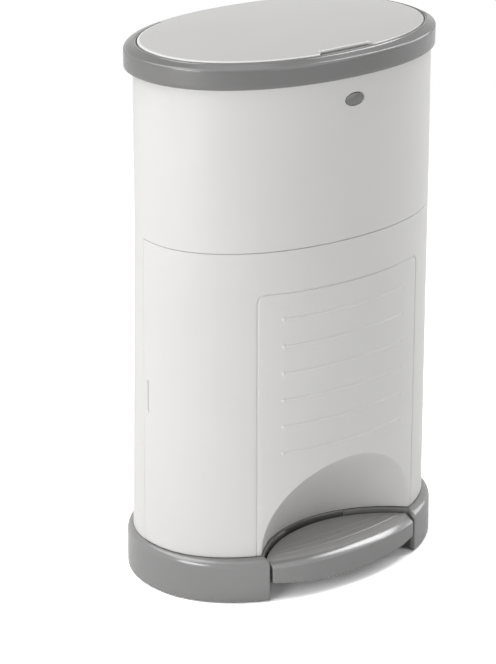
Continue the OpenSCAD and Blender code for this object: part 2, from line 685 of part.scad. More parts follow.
// Lid: a thin dome with a finger notch in front and a barrel behind
function lid_levels(d) = concat(
    [[grow(lid_sec, -0.8 - d), lid_z - (d > 0 ? 1 : 0)], [grow(lid_sec, -d), lid_z + 0.8],
        [grow(lid_sec, -d), lid_edge_top - 0.6 - d]],
    [for (s = d > 0 ? [0.97, 0.85, 0.66, 0.42, 0.12] : [0.985, 0.95, 0.88, 0.78, 0.64, 0.46, 0.26, 0.08])
        [[(lid_sec[0] - d) * s, (lid_sec[1] - d) * s, lid_sec[2]],
            lid_edge_top - d + (total_h - lid_edge_top) * (1 - pow(s, 2.2))]]);
module notch_plan(d) {
    y = front_y(lid_sec, 0);
    polygon([[-notch_half - d, y - 4], [-notch_half + 7 - d, y + notch_d + d],
        [notch_half - 7 + d, y + notch_d + d], [notch_half + d, y - 4]]);
}
module lid() color(warm_white) difference() {
    union() {
        difference() {
            loft(lid_levels(0));
            loft(lid_levels(2.2));
        }
        intersection() {
            loft(lid_levels(0));
            translate([0, 0, lid_z]) linear_extrude(20) notch_plan(2.2);
        }
        // Tail over the hinge
        intersection() {
            ring_form();
            difference() {
                union() {
                    rod_x(lid_barrel_r, -tail_half, tail_half, lid_axis[0], lid_axis[1]);
                    box(-tail_half, tail_half, lid_axis[0] - 23, lid_axis[0] + 3.5, lid_z, ring_top);
                    box(-tail_half, tail_half, lid_axis[0] - 3, lid_axis[0], lid_axis[1] + 2, lid_z + 1);
                }
                prism(grow(lid_sec, -2.2), lid_z - 9, ring_top + 1);
                // Room for the ears and the ends of their pins
                both_sides() {
                    rod_x(4.1, lid_barrel_half, ear_end + part_gap, lid_axis[0], lid_axis[1]);
                    box(lid_barrel_half, ear_end + part_gap, lid_axis[0] - 9, far, ring_z, lid_axis[1] + 1.5);
                }
            }
        }
        // Crank that the push rod lifts
        side_plate(-4, 4, [for (q = [[0, 2], [crank_l, 2], [crank_l, -2], [0, -2]])
            [lid_axis[0] - q[0] * cos(37.5) - q[1] * sin(37.5), lid_axis[1] - q[0] * sin(37.5) + q[1] * cos(37.5)]]);
        // Posts for the liner
        for (p = liner_spots) translate([p[0], p[1], lid_z - 1]) cylinder(r = 3.4, h = 5.2);
    }
    translate([0, 0, lid_z - 30]) linear_extrude(60) notch_plan(0);
    both_sides() rod_x(hinge_pin_r + pin_clear, lid_barrel_half - 9, lid_barrel_half + 1, lid_axis[0], lid_axis[1]);
    for (p = liner_spots) translate([p[0], p[1], lid_z - 2]) cylinder(r = 1.4, h = 6);
}
liner_spots = [for (t = [30, 150, 210, 330]) on_oval([lid_sec[0] * 0.74, lid_sec[1] * 0.76, 0], t)];
liner_z = lip_z + 3.4;
liner_sec = grow(lip_sec, 2.2);
module lid_liner() color(grey) difference() {
    union() {
        prism(liner_sec, liner_z, liner_z + 2);
        oval_ring(grow(liner_sec, -1), grow(liner_sec, -3), liner_z, lid_z);
        for (p = liner_spots) translate([p[0], p[1], liner_z]) cylinder(r = 3.4, h = lid_z - 1 - liner_z);
    }
    for (p = liner_spots) translate([p[0], p[1], liner_z - 1]) {
        cylinder(r = 1.4, h = 10);
        cylinder(r = 2.8, h = 2.4);
    }
    oval_ring(grow(lip_sec, 1.4 + 0.9), grow(lip_sec, 1.4 - 1.1), liner_z - 1, liner_z + 1.2);
}
module lid_seal() color(dark) {
    oval_ring(grow(lip_sec, 2.3), grow(lip_sec, 0.3), lip_z + 2, liner_z + 1.2);
    oval_ring(grow(lip_sec, 1.7), grow(lip_sec, 0.9), lip_z, lip_z + 2);
}
module liner_screws() color(steel) for (p = liner_spots) translate([p[0], p[1], liner_z]) {
    cylinder(r = 2.8, h = 1.4);
    cylinder(r = 1.4, h = lid_z + 3.8 - liner_z);
}
module lid_hinge_pins() color(steel) both_sides()
    rod_x(hinge_pin_r, lid_barrel_half - 8, ear_end, lid_axis[0], lid_axis[1]);

// Latch of the cover: an oval button, a hooked slide, its guide and its spring
latch_y = front_y(rim_sec, 0);
slide_y = latch_y + 5.6;
bridge_y = slide_y + 11;
module latch_button() color(grey) difference() {
    union() {
        button_prism(0, latch_y - 0.5, slide_y);
        button_prism(-0.6, latch_y - 1.1, slide_y);
    }
    rod_y_hole(1.6, slide_y - 4, slide_y + 1);
}
module rod_y_hole(r, y0, y1) {
    translate([0, y1, button_z]) rotate([90, 0, 0]) cylinder(r = r, h = y1 - y0);
}
module latch_slide() color(grey) {
    box(-8, 8, slide_y, slide_y + 2, button_z, ring_z + 10.4);
    box(-10.4, 10.4, slide_y, slide_y + 2, button_z - 8, button_z + 8);
    box(-6, 6, slide_y - 1.9, slide_y + 1, ring_z + 7.4, ring_z + 10.4);
    rod_y_hole(1.6, slide_y - 4, slide_y + 1);
    rod_y_hole(1.8, slide_y + 1, slide_y + 4.4);
}
module latch_guide() color(white) intersection() {
    body_solid(button_z - 10, button_z + 10, -body_wall);
    difference() {
        box(-13, 13, latch_y, bridge_y + 1.6, button_z - 9, button_z + 6);
        box(-10.8, 10.8, latch_y - 1, bridge_y, button_z - 10, button_z + 7);
    }
}
// Coil spring along Y from wire of radius w, as one closed tube
module coil(r, w, y0, y1, turns) {
    m = 16;
    k = 8;
    n = turns * m;
    points = [for (i = [0 : n]) let (t = 360 * i / m, y = y0 + w + (y1 - y0 - 2 * w) * i / n)
        for (j = [0 : k - 1]) let (q = 360 * j / k)
            [(r + w * cos(q)) * cos(t), y + w * sin(q), button_z + (r + w * cos(q)) * sin(t)]];
    polyhedron(points = points, faces = concat(
        [[for (j = [k - 1 : -1 : 0]) j]],
        [for (i = [0 : n - 1]) for (j = [0 : k - 1]) let (l = (j + 1) % k)
            [i * k + j, i * k + l, (i + 1) * k + l, (i + 1) * k + j]],
        [[for (j = [0 : k - 1]) n * k + j]]), convexity = 10);
}
module latch_spring() color(steel) coil(2.8, 0.4, slide_y + 2, bridge_y, 5);

// Refill: a pleated film in a ring-shaped tub on a seat
module cassette_seat() color(grey) difference() {
    union() {
        prism(grow(body_at(seat_z), -body_wall - 0.3), seat_z - part_gap, tub_z);
        oval_ring(grow(tub_sec, 2.4), grow(tub_sec, 0.4), tub_z - eps, tub_z + 6);
    }
    prism(grow(bore_sec, -2), seat_z - 5, tub_z + 10);
    box(-5, 5, rod_y - 4, far, seat_z - 5, tub_z + 10);
}
module refill_tub() color(white) difference() {
    prism(tub_sec, tub_z, tub_z + tub_h);
    difference() {
        prism(grow(tub_sec, -tub_wall), tub_z + tub_wall, tub_z + tub_h + 1);
        prism(grow(bore_sec, tub_wall), tub_z, tub_z + tub_h - 1.6);
    }
    prism(bore_sec, tub_z - 1, tub_z + tub_h + 1);
}
module refill_film() color(white)
    oval_ring(grow(tub_sec, -tub_wall - 0.6), grow(bore_sec, tub_wall + 0.6), tub_z + tub_wall, tub_z + tub_h - 5);
module refill_cap() color(grey) {
    oval_ring(tub_sec, grow(bore_sec, tub_wall + 2), tub_z + tub_h, tub_z + tub_h + 1.4);
    oval_ring(grow(tub_sec, -tub_wall - 0.1), grow(tub_sec, -tub_wall - 1.3), tub_z + tub_h - 3, tub_z + tub_h + eps);
}

// Cutter for the film, under the front of the seat
cut_y = 16 - base_depth / 2 + 12;
module film_cutter() color(grey) difference() {
    box(-16, 16, cut_y - 3.5, cut_y + 3.5, seat_z - 20, seat_z - part_gap);
    side_plate(-12, 12, [[cut_y - 2.2, seat_z - 21], [cut_y + 2.2, seat_z - 21], [cut_y + 0.8, seat_z - 9],
        [cut_y - 0.8, seat_z - 9]]);
    cutter_form();
}
module cutter_form() {
    translate([0, cut_y + 0.4, seat_z - 9]) rotate([90, 0, 0]) linear_extrude(0.8)
        polygon([[-14, -6], [14, -1], [14, 4], [-14, 4]]);
}
module cutter_blade() color(steel) cutter_form();

base_tray();
rubber_feet();
base_screws();
body_shell();
front_door();
door_pins();
pedal();
pedal_lever();
pedal_screws();
pedal_axle();
push_rod();
rod_cover();
cover_ring();
throat_funnel();
throat_seal();
cover_screws();
cover_hinge_pin();
lid();
lid_liner();
lid_seal();
liner_screws();
lid_hinge_pins();
latch_button();
latch_slide();
latch_guide();
latch_spring();
cassette_seat();
refill_tub();
refill_film();
refill_cap();
film_cutter();
cutter_blade();
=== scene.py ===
# Pedal nappy bin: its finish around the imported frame. Shapes are worked out in millimetres
# and put into the meshes in metres. +Z is up and the front faces -Y.
import json
import math

import bpy
import bmesh
import numpy as np
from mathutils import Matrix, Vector


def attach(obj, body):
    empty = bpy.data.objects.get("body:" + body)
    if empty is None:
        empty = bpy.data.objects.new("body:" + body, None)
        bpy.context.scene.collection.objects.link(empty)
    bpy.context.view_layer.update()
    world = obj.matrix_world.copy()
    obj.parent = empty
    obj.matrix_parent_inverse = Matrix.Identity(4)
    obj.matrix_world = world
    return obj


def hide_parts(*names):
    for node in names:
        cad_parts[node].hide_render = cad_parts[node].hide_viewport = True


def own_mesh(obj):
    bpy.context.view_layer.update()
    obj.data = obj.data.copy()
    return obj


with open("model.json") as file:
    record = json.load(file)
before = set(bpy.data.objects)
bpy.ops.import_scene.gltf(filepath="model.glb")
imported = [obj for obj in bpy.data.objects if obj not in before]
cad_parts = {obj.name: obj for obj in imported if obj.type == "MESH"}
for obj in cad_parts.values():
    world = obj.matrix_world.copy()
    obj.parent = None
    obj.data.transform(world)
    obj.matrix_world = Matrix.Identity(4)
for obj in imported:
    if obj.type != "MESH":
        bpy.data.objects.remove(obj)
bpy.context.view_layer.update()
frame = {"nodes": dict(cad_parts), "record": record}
print("frame loaded:", len(frame["nodes"]), "nodes")

millimetre = 0.001
ovalPower = 2.15
flankFrom = 100  # beyond this x a point of the body is on a flank
away = 50  # a distance that no edge reaches

# Ovals are half length, half depth and shift to the back, all in millimetres
bodyShape = {
    "heights": (37.6, 300.0, 432.5),
    "halfLength": (135.5, 133.4, 132.6),
    "halfDepth": (91.2, 87.9, 87.9),
    "shift": (1.2, -2.4, -2.4),
}


def bodySection(z):
    # The body's oval runs straight from foot to seam and from seam to rim
    keys = ("halfLength", "halfDepth", "shift")
    return tuple(np.interp(z, bodyShape["heights"], bodyShape[key]) for key in keys)


def ovalPoint(section, t, offset=0.0):
    # Superellipse: |x/a|^n + |y/b|^n = 1, with x = a cos^(2/n) t and y = b sin^(2/n) t, keeping signs
    a, b, shift = section
    c, s = np.cos(t), np.sin(t)
    e = 2 / ovalPower
    x = (a + offset) * np.sign(c) * np.abs(c) ** e
    y = shift + (b + offset) * np.sign(s) * np.abs(s) ** e
    return x, y


def ovalNormal(section, t):
    # Gradient of the superellipse, made one long
    a, b, _ = section
    c, s = np.cos(t), np.sin(t)
    e = 2 - 2 / ovalPower
    nx, ny = np.sign(c) * np.abs(c) ** e / a, np.sign(s) * np.abs(s) ** e / b
    size = np.hypot(nx, ny)
    return nx / size, ny / size


def frontAngle(a, x):
    # The angle on the front half at which the oval passes x
    return -np.arccos(np.clip(np.sign(x) * np.abs(x / a) ** (ovalPower / 2), -1, 1))


def flankAngle(section, y):
    # How far past the oval's end the flank reaches y
    _, b, shift = section
    return np.arcsin(np.clip((y - shift) / b, 0, 1) ** (ovalPower / 2))


def frontY(section, x):
    # y of the oval's front half at x
    a, b, shift = section
    return shift - b * np.clip(1 - np.abs(x / a) ** ovalPower, 0, 1) ** (1 / ovalPower)


def smoothStep(edge0, edge1, v):
    # 0 below edge0, 1 above edge1 and 3u^2 - 2u^3 between
    u = np.clip((v - edge0) / (edge1 - edge0), 0, 1)
    return u * u * (3 - 2 * u)


def edgeRound(distance, radius):
    # Quarter circle that draws a wall back at its edge
    d = np.clip(distance, 0, radius)
    return -(radius - np.sqrt(np.maximum(radius ** 2 - (radius - d) ** 2, 0)))


def halve(low, high, inside):
    # Finds by halving where a condition that holds at low stops holding on the way to high
    for _ in range(40):
        middle = (low + high) / 2
        holds = inside(middle)
        low, high = np.where(holds, middle, low), np.where(holds, high, middle)
    return low


def ovalShare(section, x, y):
    # The superellipse's own radius: 0 in the middle and 1 on the oval
    return (np.abs(x / section[0]) ** ovalPower + np.abs(y / section[1]) ** ovalPower) ** (1 / ovalPower)


def mixSection(p, q, u):
    # Straight mix of two ovals
    return tuple(np.asarray(s + (e - s) * u) for s, e in zip(p, q))


def shoulderSection(shape, z):
    # Upright oval that turns in to the rest oval over a rounded shoulder
    rise = np.clip(z - shape["top"] + shape["round"], 0, shape["round"]) / shape["round"]
    return mixSection(shape["section"], shape["rest"], 1 - np.sqrt(np.maximum(1 - rise ** 2, 0)))


def smoothMax(p, q, width):
    # Larger of two values with its corner rounded over width
    return (p + q + np.sqrt((p - q) ** 2 + width ** 2)) / 2


def spread(*stretches):
    # Joins stretches of (start, end, count) into one rising row of values without repeats
    parts = [np.linspace(start, end, int(count), endpoint=False) for start, end, count in stretches]
    return np.concatenate(parts + [np.array([stretches[-1][1]], float)])


def gridFaces(rows, columns, mask=None, start=0, closed=False):
    # Quads of a grid whose vertex (i, j) is start + i * columns + j, i along and j up
    last = rows if closed else rows - 1
    i, j = np.meshgrid(np.arange(last), np.arange(columns - 1), indexing="ij")
    if mask is not None:
        keep = mask[:last, :columns - 1]
        i, j = i[keep], j[keep]
    else:
        i, j = i.ravel(), j.ravel()
    near, far = start + i * columns + j, start + (i + 1) % rows * columns + j
    return np.stack([near, far, far + 1, near + 1], axis=1)


def addObject(name, data):
    # Puts an object with this data into the scene
    added = bpy.data.objects.new(name, data)
    bpy.context.scene.collection.objects.link(added)
    return added


def mergePoints(mesh):
    # Merges points that coincide and drops points without a face
    work = bmesh.new()
    work.from_mesh(mesh)
    bmesh.ops.remove_doubles(work, verts=work.verts, dist=0.00001)
    bmesh.ops.delete(work, geom=[v for v in work.verts if not v.link_faces], context="VERTS")
    work.to_mesh(mesh)
    work.free()


def addSmooth(name, mesh, angle):
    # The mesh as an object, smooth up to the angle and sharp beyond it
    mesh.shade_smooth()
    mesh.set_sharp_from_angle(angle=math.radians(angle))
    return addObject(name, mesh)


def readPoints(mesh):
    # The mesh's points in millimetres
    points = np.empty(len(mesh.vertices) * 3)
    mesh.vertices.foreach_get("co", points)
    return points.reshape(-1, 3) / millimetre


def mirrored(rights):
    # The same row on both sides of 0
    return np.concatenate([-rights[:0:-1], rights])


def pushed(x, y, z, nx, ny, offsets, flat=1, up=0):
    # One sheet for each offset d: (x + nx flat d, y + ny flat d, z + up d)
    return [np.stack([x + nx * flat * d, y + ny * flat * d, z + up * d], 2) for d in offsets]


# Camera: it stands where the photograph was taken from
cameraData = bpy.data.cameras.new("camera")
cameraData.sensor_width = 36
cameraData.lens = 150.18
cameraData.clip_end = 50
camera = addObject("camera", cameraData)
camera.location = (-1.3424, -1.6916, 1.0114)
camera.rotation_euler = (Vector((-0.03485, 0, 0.2009)) - camera.location).to_track_quat("-Z", "Y").to_euler()
bpy.context.scene.camera = camera
bpy.context.scene.view_settings.view_transform = "Standard"


# Name: direction to the lamp, distance in metres, width, height and power in watts
lamps = {
    "left": ((-0.93, -0.20, 0.22), 3.0, 1.6, 1.2, 36.5),
    "upper left": ((-0.49, 0.28, 0.81), 3.0, 3.0, 2.4, 58.5),
    "upper right": ((0.64, 0.01, 0.76), 3.0, 0.7, 1.2, 21.5),
    "front": ((0.45, -0.62, 0.55), 3.2, 3.0, 3.0, 5.5),
    "right": ((0.95, -0.10, 0.30), 3.2, 1.6, 1.6, 23),
    "front low": ((0.25, -0.95, 0.15), 3.2, 2.4, 1.6, 12.5),
    "top": ((0.0, 0.05, 1.0), 3.0, 2.4, 2.4, 14),
}
for name, (way, far, width, height, power) in lamps.items():
    data = bpy.data.lights.new(name, "AREA")
    data.shape = "RECTANGLE"
    data.size, data.size_y, data.energy = width, height, power
    lamp = addObject(name, data)
    lamp.location = Vector((0, 0, 0.24)) + Vector(way).normalized() * far
    lamp.rotation_euler = (-Vector(way)).to_track_quat("-Z", "Y").to_euler()


def addNode(tree, kind, values=None, **settings):
    # One shader node, with its settings and the values of its own sockets
    node = tree.nodes.new("ShaderNode" + kind)
    for key, value in settings.items():
        setattr(node, key, value)
    for socket, value in (values or {}).items():
        node.inputs[socket].default_value = value
    return node


def joinNodes(tree, *pairs):
    # Links each output to its input
    for start, end in pairs:
        tree.links.new(start, end)


# World: plain white to the camera and in reflections, and dim as a light
world = bpy.data.worlds.new("world")
bpy.context.scene.world = world
world.use_nodes = True
tree = world.node_tree
tree.nodes.clear()
ray = addNode(tree, "LightPath").outputs
direct = addNode(tree, "Math", operation="MAXIMUM")
seen = addNode(tree, "Math", operation="MAXIMUM")
around = addNode(tree, "Background", {"Color": (1, 1, 1, 1), "Strength": 0.10})
backdrop = addNode(tree, "Background", {"Color": (1, 1, 1, 1), "Strength": 1})
choice = addNode(tree, "MixShader")
output = addNode(tree, "OutputWorld")
joinNodes(tree, (ray["Is Camera Ray"], direct.inputs[0]), (ray["Is Glossy Ray"], direct.inputs[1]),
          (direct.outputs[0], seen.inputs[0]), (ray["Is Transmission Ray"], seen.inputs[1]),
          (seen.outputs[0], choice.inputs[0]), (around.outputs[0], choice.inputs[1]),
          (backdrop.outputs[0], choice.inputs[2]), (choice.outputs[0], output.inputs["Surface"]))


def plastic(name, colour, roughness, grain=0.0, grainSize=1200.0, tone=0.02, metallic=0.0, specular=0.5):
    # Principled plastic whose tone drifts slightly with object position, with a fine moulded grain
    material = bpy.data.materials.new(name)
    material.use_nodes = True
    tree = material.node_tree
    shader = tree.nodes["Principled BSDF"].inputs
    shader["Roughness"].default_value = roughness
    shader["Metallic"].default_value = metallic
    shader["Specular IOR Level"].default_value = specular
    place = addNode(tree, "TexCoord").outputs["Object"]
    drift = addNode(tree, "TexNoise", {"Scale": 9, "Detail": 3})
    ramp = addNode(tree, "ValToRGB")
    for element, at, gain in zip(ramp.color_ramp.elements, (0.25, 0.75), (1 - tone, 1 + tone)):
        element.position = at
        element.color = (*[min(1, c * gain) for c in colour], 1)
    rub = addNode(tree, "TexNoise", {"Scale": 40, "Detail": 4})
    rubRange = addNode(tree, "MapRange", {"To Min": roughness * 0.93, "To Max": roughness * 1.07})
    joinNodes(tree, (place, drift.inputs["Vector"]), (drift.outputs["Fac"], ramp.inputs["Fac"]),
              (ramp.outputs["Color"], shader["Base Color"]), (place, rub.inputs["Vector"]),
              (rub.outputs["Fac"], rubRange.inputs["Value"]),
              (rubRange.outputs["Result"], shader["Roughness"]))
    if grain > 0:
        fine = addNode(tree, "TexNoise", {"Scale": grainSize, "Detail": 2})
        bump = addNode(tree, "Bump", {"Strength": grain, "Distance": 0.0001})
        joinNodes(tree, (place, fine.inputs["Vector"]), (fine.outputs["Fac"], bump.inputs["Height"]),
                  (bump.outputs["Normal"], shader["Normal"]))
    return material


def markedTone(material, attribute, colour):
    # Mixes a second tone in where the piece's own attribute says so
    tree = material.node_tree
    base = tree.nodes["Principled BSDF"].inputs["Base Color"]
    mark = addNode(tree, "Attribute", attribute_name=attribute)
    mix = addNode(tree, "Mix", data_type="RGBA")
    mix.inputs[7].default_value = (*colour, 1)
    joinNodes(tree, (mark.outputs["Fac"], mix.inputs["Factor"]), (base.links[0].from_socket, mix.inputs[6]),
              (mix.outputs[2], base))
    return material


def whitePlastic(name):
    return plastic(name, (0.72, 0.715, 0.705), 0.36, 0.10)


def greyPlastic(name, colour=(0.170, 0.167, 0.165)):
    return plastic(name, colour, 0.18, 0.04, specular=1.0)


lidPlastic = plastic("lid plastic", (0.50, 0.495, 0.485), 0.42, 0.12)
treadPlastic = greyPlastic("tread plastic", (0.226, 0.223, 0.221))
materials = {
    "white_plastic": whitePlastic("white plastic"),
    # The door's finger pull gets a darker tone painted on as shade
    "door_plastic": markedTone(whitePlastic("door plastic"), "shade", (0.49, 0.487, 0.48)),
    # The lid's edge and notch get a lighter tone painted on as a highlight
    "lid_plastic": markedTone(lidPlastic, "chamferHighlight", (0.80, 0.80, 0.79)),
    "grey_plastic": greyPlastic("grey plastic"),
    # The ring's shoulder gets a darker tone painted on as shade
    "ring_plastic": markedTone(greyPlastic("ring plastic"), "shoulder", (0.112, 0.110, 0.109)),
    # A lighter copy of the grey for the base and pedal, as painted light
    "low_plastic": greyPlastic("low grey plastic", (0.236, 0.233, 0.231)),
    # The pedal's tread gets a lighter tone painted on as light
    "tread_plastic": markedTone(treadPlastic, "tread", (0.335, 0.332, 0.328)),
    "inner_plastic": plastic("inner plastic", (0.42, 0.42, 0.415), 0.42, 0.10),
    "dark_plastic": plastic("dark plastic", (0.05, 0.05, 0.052), 0.45, 0.12),
    "rubber": plastic("rubber", (0.035, 0.035, 0.036), 0.75, 0.3),
    "steel": plastic("steel", (0.56, 0.56, 0.57), 0.30, 0.04, 2500, 0.03, 1.0),
    "film": plastic("film", (0.80, 0.80, 0.80), 0.30, 0.0),
}

# Floor: the camera sees it exposed to white with its shadow, and further out as plain white paper,
# so no horizon shows
floorMesh = bpy.data.meshes.new("floor")
floorMesh.from_pydata([(-6, -6, 0), (6, -6, 0), (6, 6, 0), (-6, 6, 0)], [], [(0, 1, 2, 3)])
floor = addObject("floor", floorMesh)
paper = plastic("floor paper", (0.95, 0.95, 0.95), 0.9, 0.0, tone=0.002)
floorMesh.materials.append(paper)
tree = paper.node_tree
lit = tree.nodes["Principled BSDF"]
eye = addNode(tree, "LightPath").outputs["Is Camera Ray"]
gain = addNode(tree, "MapRange", {"To Min": 0.95, "To Max": 2.3})
place = addNode(tree, "TexCoord").outputs["Object"]
reach = addNode(tree, "VectorMath", operation="LENGTH")
fade = addNode(tree, "MapRange", {"From Min": 0.45, "From Max": 1.3}, interpolation_type="SMOOTHSTEP")
both = addNode(tree, "Math", operation="MULTIPLY")
plain = addNode(tree, "Emission", {"Strength": 1})
blend = addNode(tree, "MixShader")
joinNodes(tree, (eye, gain.inputs["Value"]), (gain.outputs["Result"], lit.inputs["Base Color"]),
          (place, reach.inputs[0]), (reach.outputs["Value"], fade.inputs["Value"]),
          (fade.outputs["Result"], both.inputs[0]), (eye, both.inputs[1]), (both.outputs[0], blend.inputs[0]),
          (lit.outputs[0], blend.inputs[1]), (plain.outputs[0], blend.inputs[2]),
          (blend.outputs[0], tree.nodes["Material Output"].inputs["Surface"]))
print("camera, lights and materials ready")

# Bodies and material slots as the record has them
bodyOf = {node: body for body, nodes in frame["record"]["behaviour"]["bodies"].items() for node in nodes}
slotOf = {entry["node"]: entry["material_slot"] for entry in frame["record"]["subparts"]}


def finishPiece(piece, body, slotName):
    # Gives a piece its material and the CAD body it moves with; the grey low down is a lighter copy of the
    # grey, as painted light
    low = slotName == "grey_plastic" and piece.name.startswith(("base", "pedal"))
    piece.data.materials.clear()
    piece.data.materials.append(materials["low_plastic" if low else slotName])
    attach(piece, body)
    return piece


def outsideOf(section, x, y):
    # Rough distance to the oval: its equation's value less one, over the size of its slope
    a, b, shift = section
    u, v = np.abs(x / a), np.abs((y - shift) / b)
    value = u ** ovalPower + v ** ovalPower
    slopeX, slopeY = ovalPower * u ** (ovalPower - 1) / a, ovalPower * v ** (ovalPower - 1) / b
    slope = np.maximum(np.hypot(slopeX, slopeY), 1e-6)
    return (value - 1) / slope, slopeX * np.sign(x) / slope, slopeY * np.sign(y - shift) / slope


def markPoints(piece, attribute, rule, material):
    # Writes the rule's value at each point as an attribute, and gives the piece the material that reads it
    mark = piece.data.attributes.new(attribute, "FLOAT", "POINT")
    mark.data.foreach_set("value", rule(*readPoints(piece.data).T).astype(np.float32))
    piece.data.materials.clear()
    piece.data.materials.append(materials[material])


def smoothCopy(node, angle=38, move=None):
    # The CAD piece with its vertices merged, optionally moved, and its shallow facets smoothed
    mesh = frame["nodes"][node].data.copy()
    mesh.name = node + "_finished"
    mergePoints(mesh)
    if move is not None:
        mesh.vertices.foreach_set("co", (move(readPoints(mesh)) * millimetre).ravel())
        mesh.update()
    piece = addSmooth(node + "_finished", mesh, angle)
    even = piece.modifiers.new("even normals", "WEIGHTED_NORMAL")
    even.keep_sharp = True
    finishPiece(piece, bodyOf[node], slotOf[node])
    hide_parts(node)
    return piece


def clampIn(depth, section, *more):
    # Moves whatever stands closer than depth under the oval wall down to that depth, and then
    # does the same for each further rule
    def move(p):
        x, y, z = p[:, 0].copy(), p[:, 1].copy(), p[:, 2].copy()
        off, nx, ny = outsideOf(section(z), x, y)
        shift = np.where(off > -depth, off + depth, 0) * (off < 2.2)
        x, y = x - nx * shift, y - ny * shift
        for rule in more:
            x, y, z = rule(x, y, z)
        return np.stack([x, y, z], 1)
    return move


def shellPiece(name, body, slotName, outer, inner, faces, smoothAngle=40):
    # Closed shell: the outer sheet, the inner sheet turned over, and a rim along every edge that has a face
    # on one side only
    points = np.concatenate([outer.reshape(-1, 3), inner.reshape(-1, 3)]) * millimetre
    n = len(points) // 2
    sides = np.concatenate([faces[:, [i, (i + 1) % 4]] for i in range(4)])
    alone = sides[~np.isin(sides[:, 0] * n + sides[:, 1], sides[:, 1] * n + sides[:, 0])]
    rims = np.stack([alone[:, 1], alone[:, 0], alone[:, 0] + n, alone[:, 1] + n], 1)
    mesh = bpy.data.meshes.new(name)
    mesh.from_pydata(points.tolist(), [], np.concatenate([faces, faces[:, ::-1] + n, rims]).tolist())
    mergePoints(mesh)
    piece = addSmooth(name, mesh, smoothAngle)
    finishPiece(piece, body, slotName)
    print(name, len(piece.data.polygons), "faces")
    return piece


def shellGrid(name, body, slotName, outer, inner, mask=None, closed=False, smoothAngle=40):
    # The same from two grids
    faces = gridFaces(outer.shape[0], outer.shape[1], mask, 0, closed)
    return shellPiece(name, body, slotName, outer, inner, faces, smoothAngle)


# Body wall: the oval from foot to rim, open where the door is, with a hole for the button
wall = {
    "thickness": 1.4, "edge": 0.9, "leftEdge": 0.3, "seamEdge": 0.5, "foot": 37.9, "seam": 300.0,
    "doorLeft": 9.9, "hingeX": 126.5, "doorRight": 15.4,
    "hole": (9.75, 5.45), "holeX": 1.3, "holeZ": 414.5, "holeEdge": 0.45,
}


def circleCrossing(section, centreX, radius):
    # Angle at which the oval leaves the circle round the hinge
    def inside(t):
        x, y = ovalPoint(section, t)
        return np.hypot(x - centreX, y) < radius
    return halve(np.zeros_like(section[0]), np.full_like(section[0], 0.6), inside)


def buildWall():
    # Columns run round by angle: rear between the door's edges, then the front above the seam
    zs = spread((wall["foot"], 38.9, 4), (38.9, 52, 3), (52, 290, 26), (290, 298.5, 3), (298.5, 300, 3),
                (300, 301.4, 8), (301.4, 310, 4), (310, 402, 16), (402, 427, 44), (427, 432.5, 3))
    zs[np.argmin(np.abs(zs - wall["seam"]))] = wall["seam"]
    zEdge = np.minimum(zs, wall["seam"])
    edgeSection = bodySection(zEdge)
    right = circleCrossing(edgeSection, wall["hingeX"], wall["doorRight"])
    left = np.pi - flankAngle(edgeSection, wall["doorLeft"])
    fine = spread((0, 0.0036, 7), (0.0036, 0.03, 5), (0.03, 0.97, 84), (0.97, 0.9964, 5), (0.9964, 1, 7))
    front, halfTurn = 1.5 * np.pi, 0.125
    rear = right[None] + fine[:, None] * (left - right)[None]
    run = np.linspace(0, 1, 46)[1:]
    frontLeft = left[None] + run[:, None] * (front - halfTurn - left)[None]
    centre = np.repeat(np.linspace(front - halfTurn, front + halfTurn, 52)[1:, None], len(zs), 1)
    frontRight = (front + halfTurn) + run[:-1, None] * (right + 2 * np.pi - front - halfTurn)[None]
    t = np.concatenate([rear, frontLeft, centre, frontRight])
    z = np.repeat(zs[None], len(t), 0)
    section = bodySection(z)
    x, y = ovalPoint(section, t)
    # The grid round the button bends from a rectangle to the button's oval
    halfX, halfZ = wall["hole"]
    block, bendTo = 0.82, 1.9
    h, v = x - wall["holeX"], z - wall["holeZ"]
    c = np.maximum(np.abs(h) / (halfX * block), np.abs(v) / (halfZ * block))
    near = (y < 0) & (c < bendTo)
    c = np.maximum(c, 1e-6)
    ratio = np.hypot(h / c / halfX, v / c / halfZ)
    pull = 1 + (1 / ratio - 1) * np.clip((bendTo - c) / (bendTo - 1), 0, 1)
    x2, z2 = np.where(near, wall["holeX"] + h * pull, x), np.where(near, wall["holeZ"] + v * pull, z)
    section = bodySection(z2)
    t = np.where(near, frontAngle(section[0], x2), t)
    nx, ny = ovalNormal(section, t)
    x, y = ovalPoint(section, t)
    z = z2
    mask = np.ones(t.shape, bool)
    n = len(fine)
    mask[n - 1:, :] &= (zs >= wall["seam"] - 1e-6)[None]
    rho = np.hypot((x - wall["holeX"]) / halfX, (z - wall["holeZ"]) / halfZ)
    cellX = (rho + np.roll(rho, -1, 0)) / 2
    cellZ = np.hstack([(cellX[:, :-1] + cellX[:, 1:]) / 2, cellX[:, -1:]])
    mask &= ~((cellZ < 0.985) & (y < 0))
    doorEdge = np.where(x > 0, ovalPoint(edgeSection, right)[1][None], wall["doorLeft"])
    beyond = np.where(np.abs(x) > flankFrom, np.maximum(y - doorEdge, 0), away)
    beyond[n:] = 0
    beyond = np.where(x < 0, np.minimum(beyond * wall["edge"] / wall["leftEdge"], away), beyond)
    above = np.maximum(z - wall["seam"], 0) * wall["edge"] / wall["seamEdge"]
    distance = np.hypot(beyond, above)
    distance = np.minimum(distance, z - wall["foot"] + 0.2)
    hole = np.where(y < 0, np.maximum(rho - 1, 0) * 7, away)  # one rho is about 7 mm
    drop = edgeRound(distance, wall["edge"]) + edgeRound(hole, wall["holeEdge"])
    outer, inner = pushed(x, y, z, nx, ny, (drop, -wall["thickness"]))
    return shellGrid("body_wall", "bin", "white_plastic", outer, inner, mask, True)


buildWall()

# Base: upright wall with a rounded shoulder, open in front where the pedal is
base = {"section": (140.0, 100.0, 0.0), "rest": (135.9, 91.6, 1.2), "top": 37.6, "round": 6.6,
        "gap": 78.0, "thickness": 1.4, "edge": 1.0}


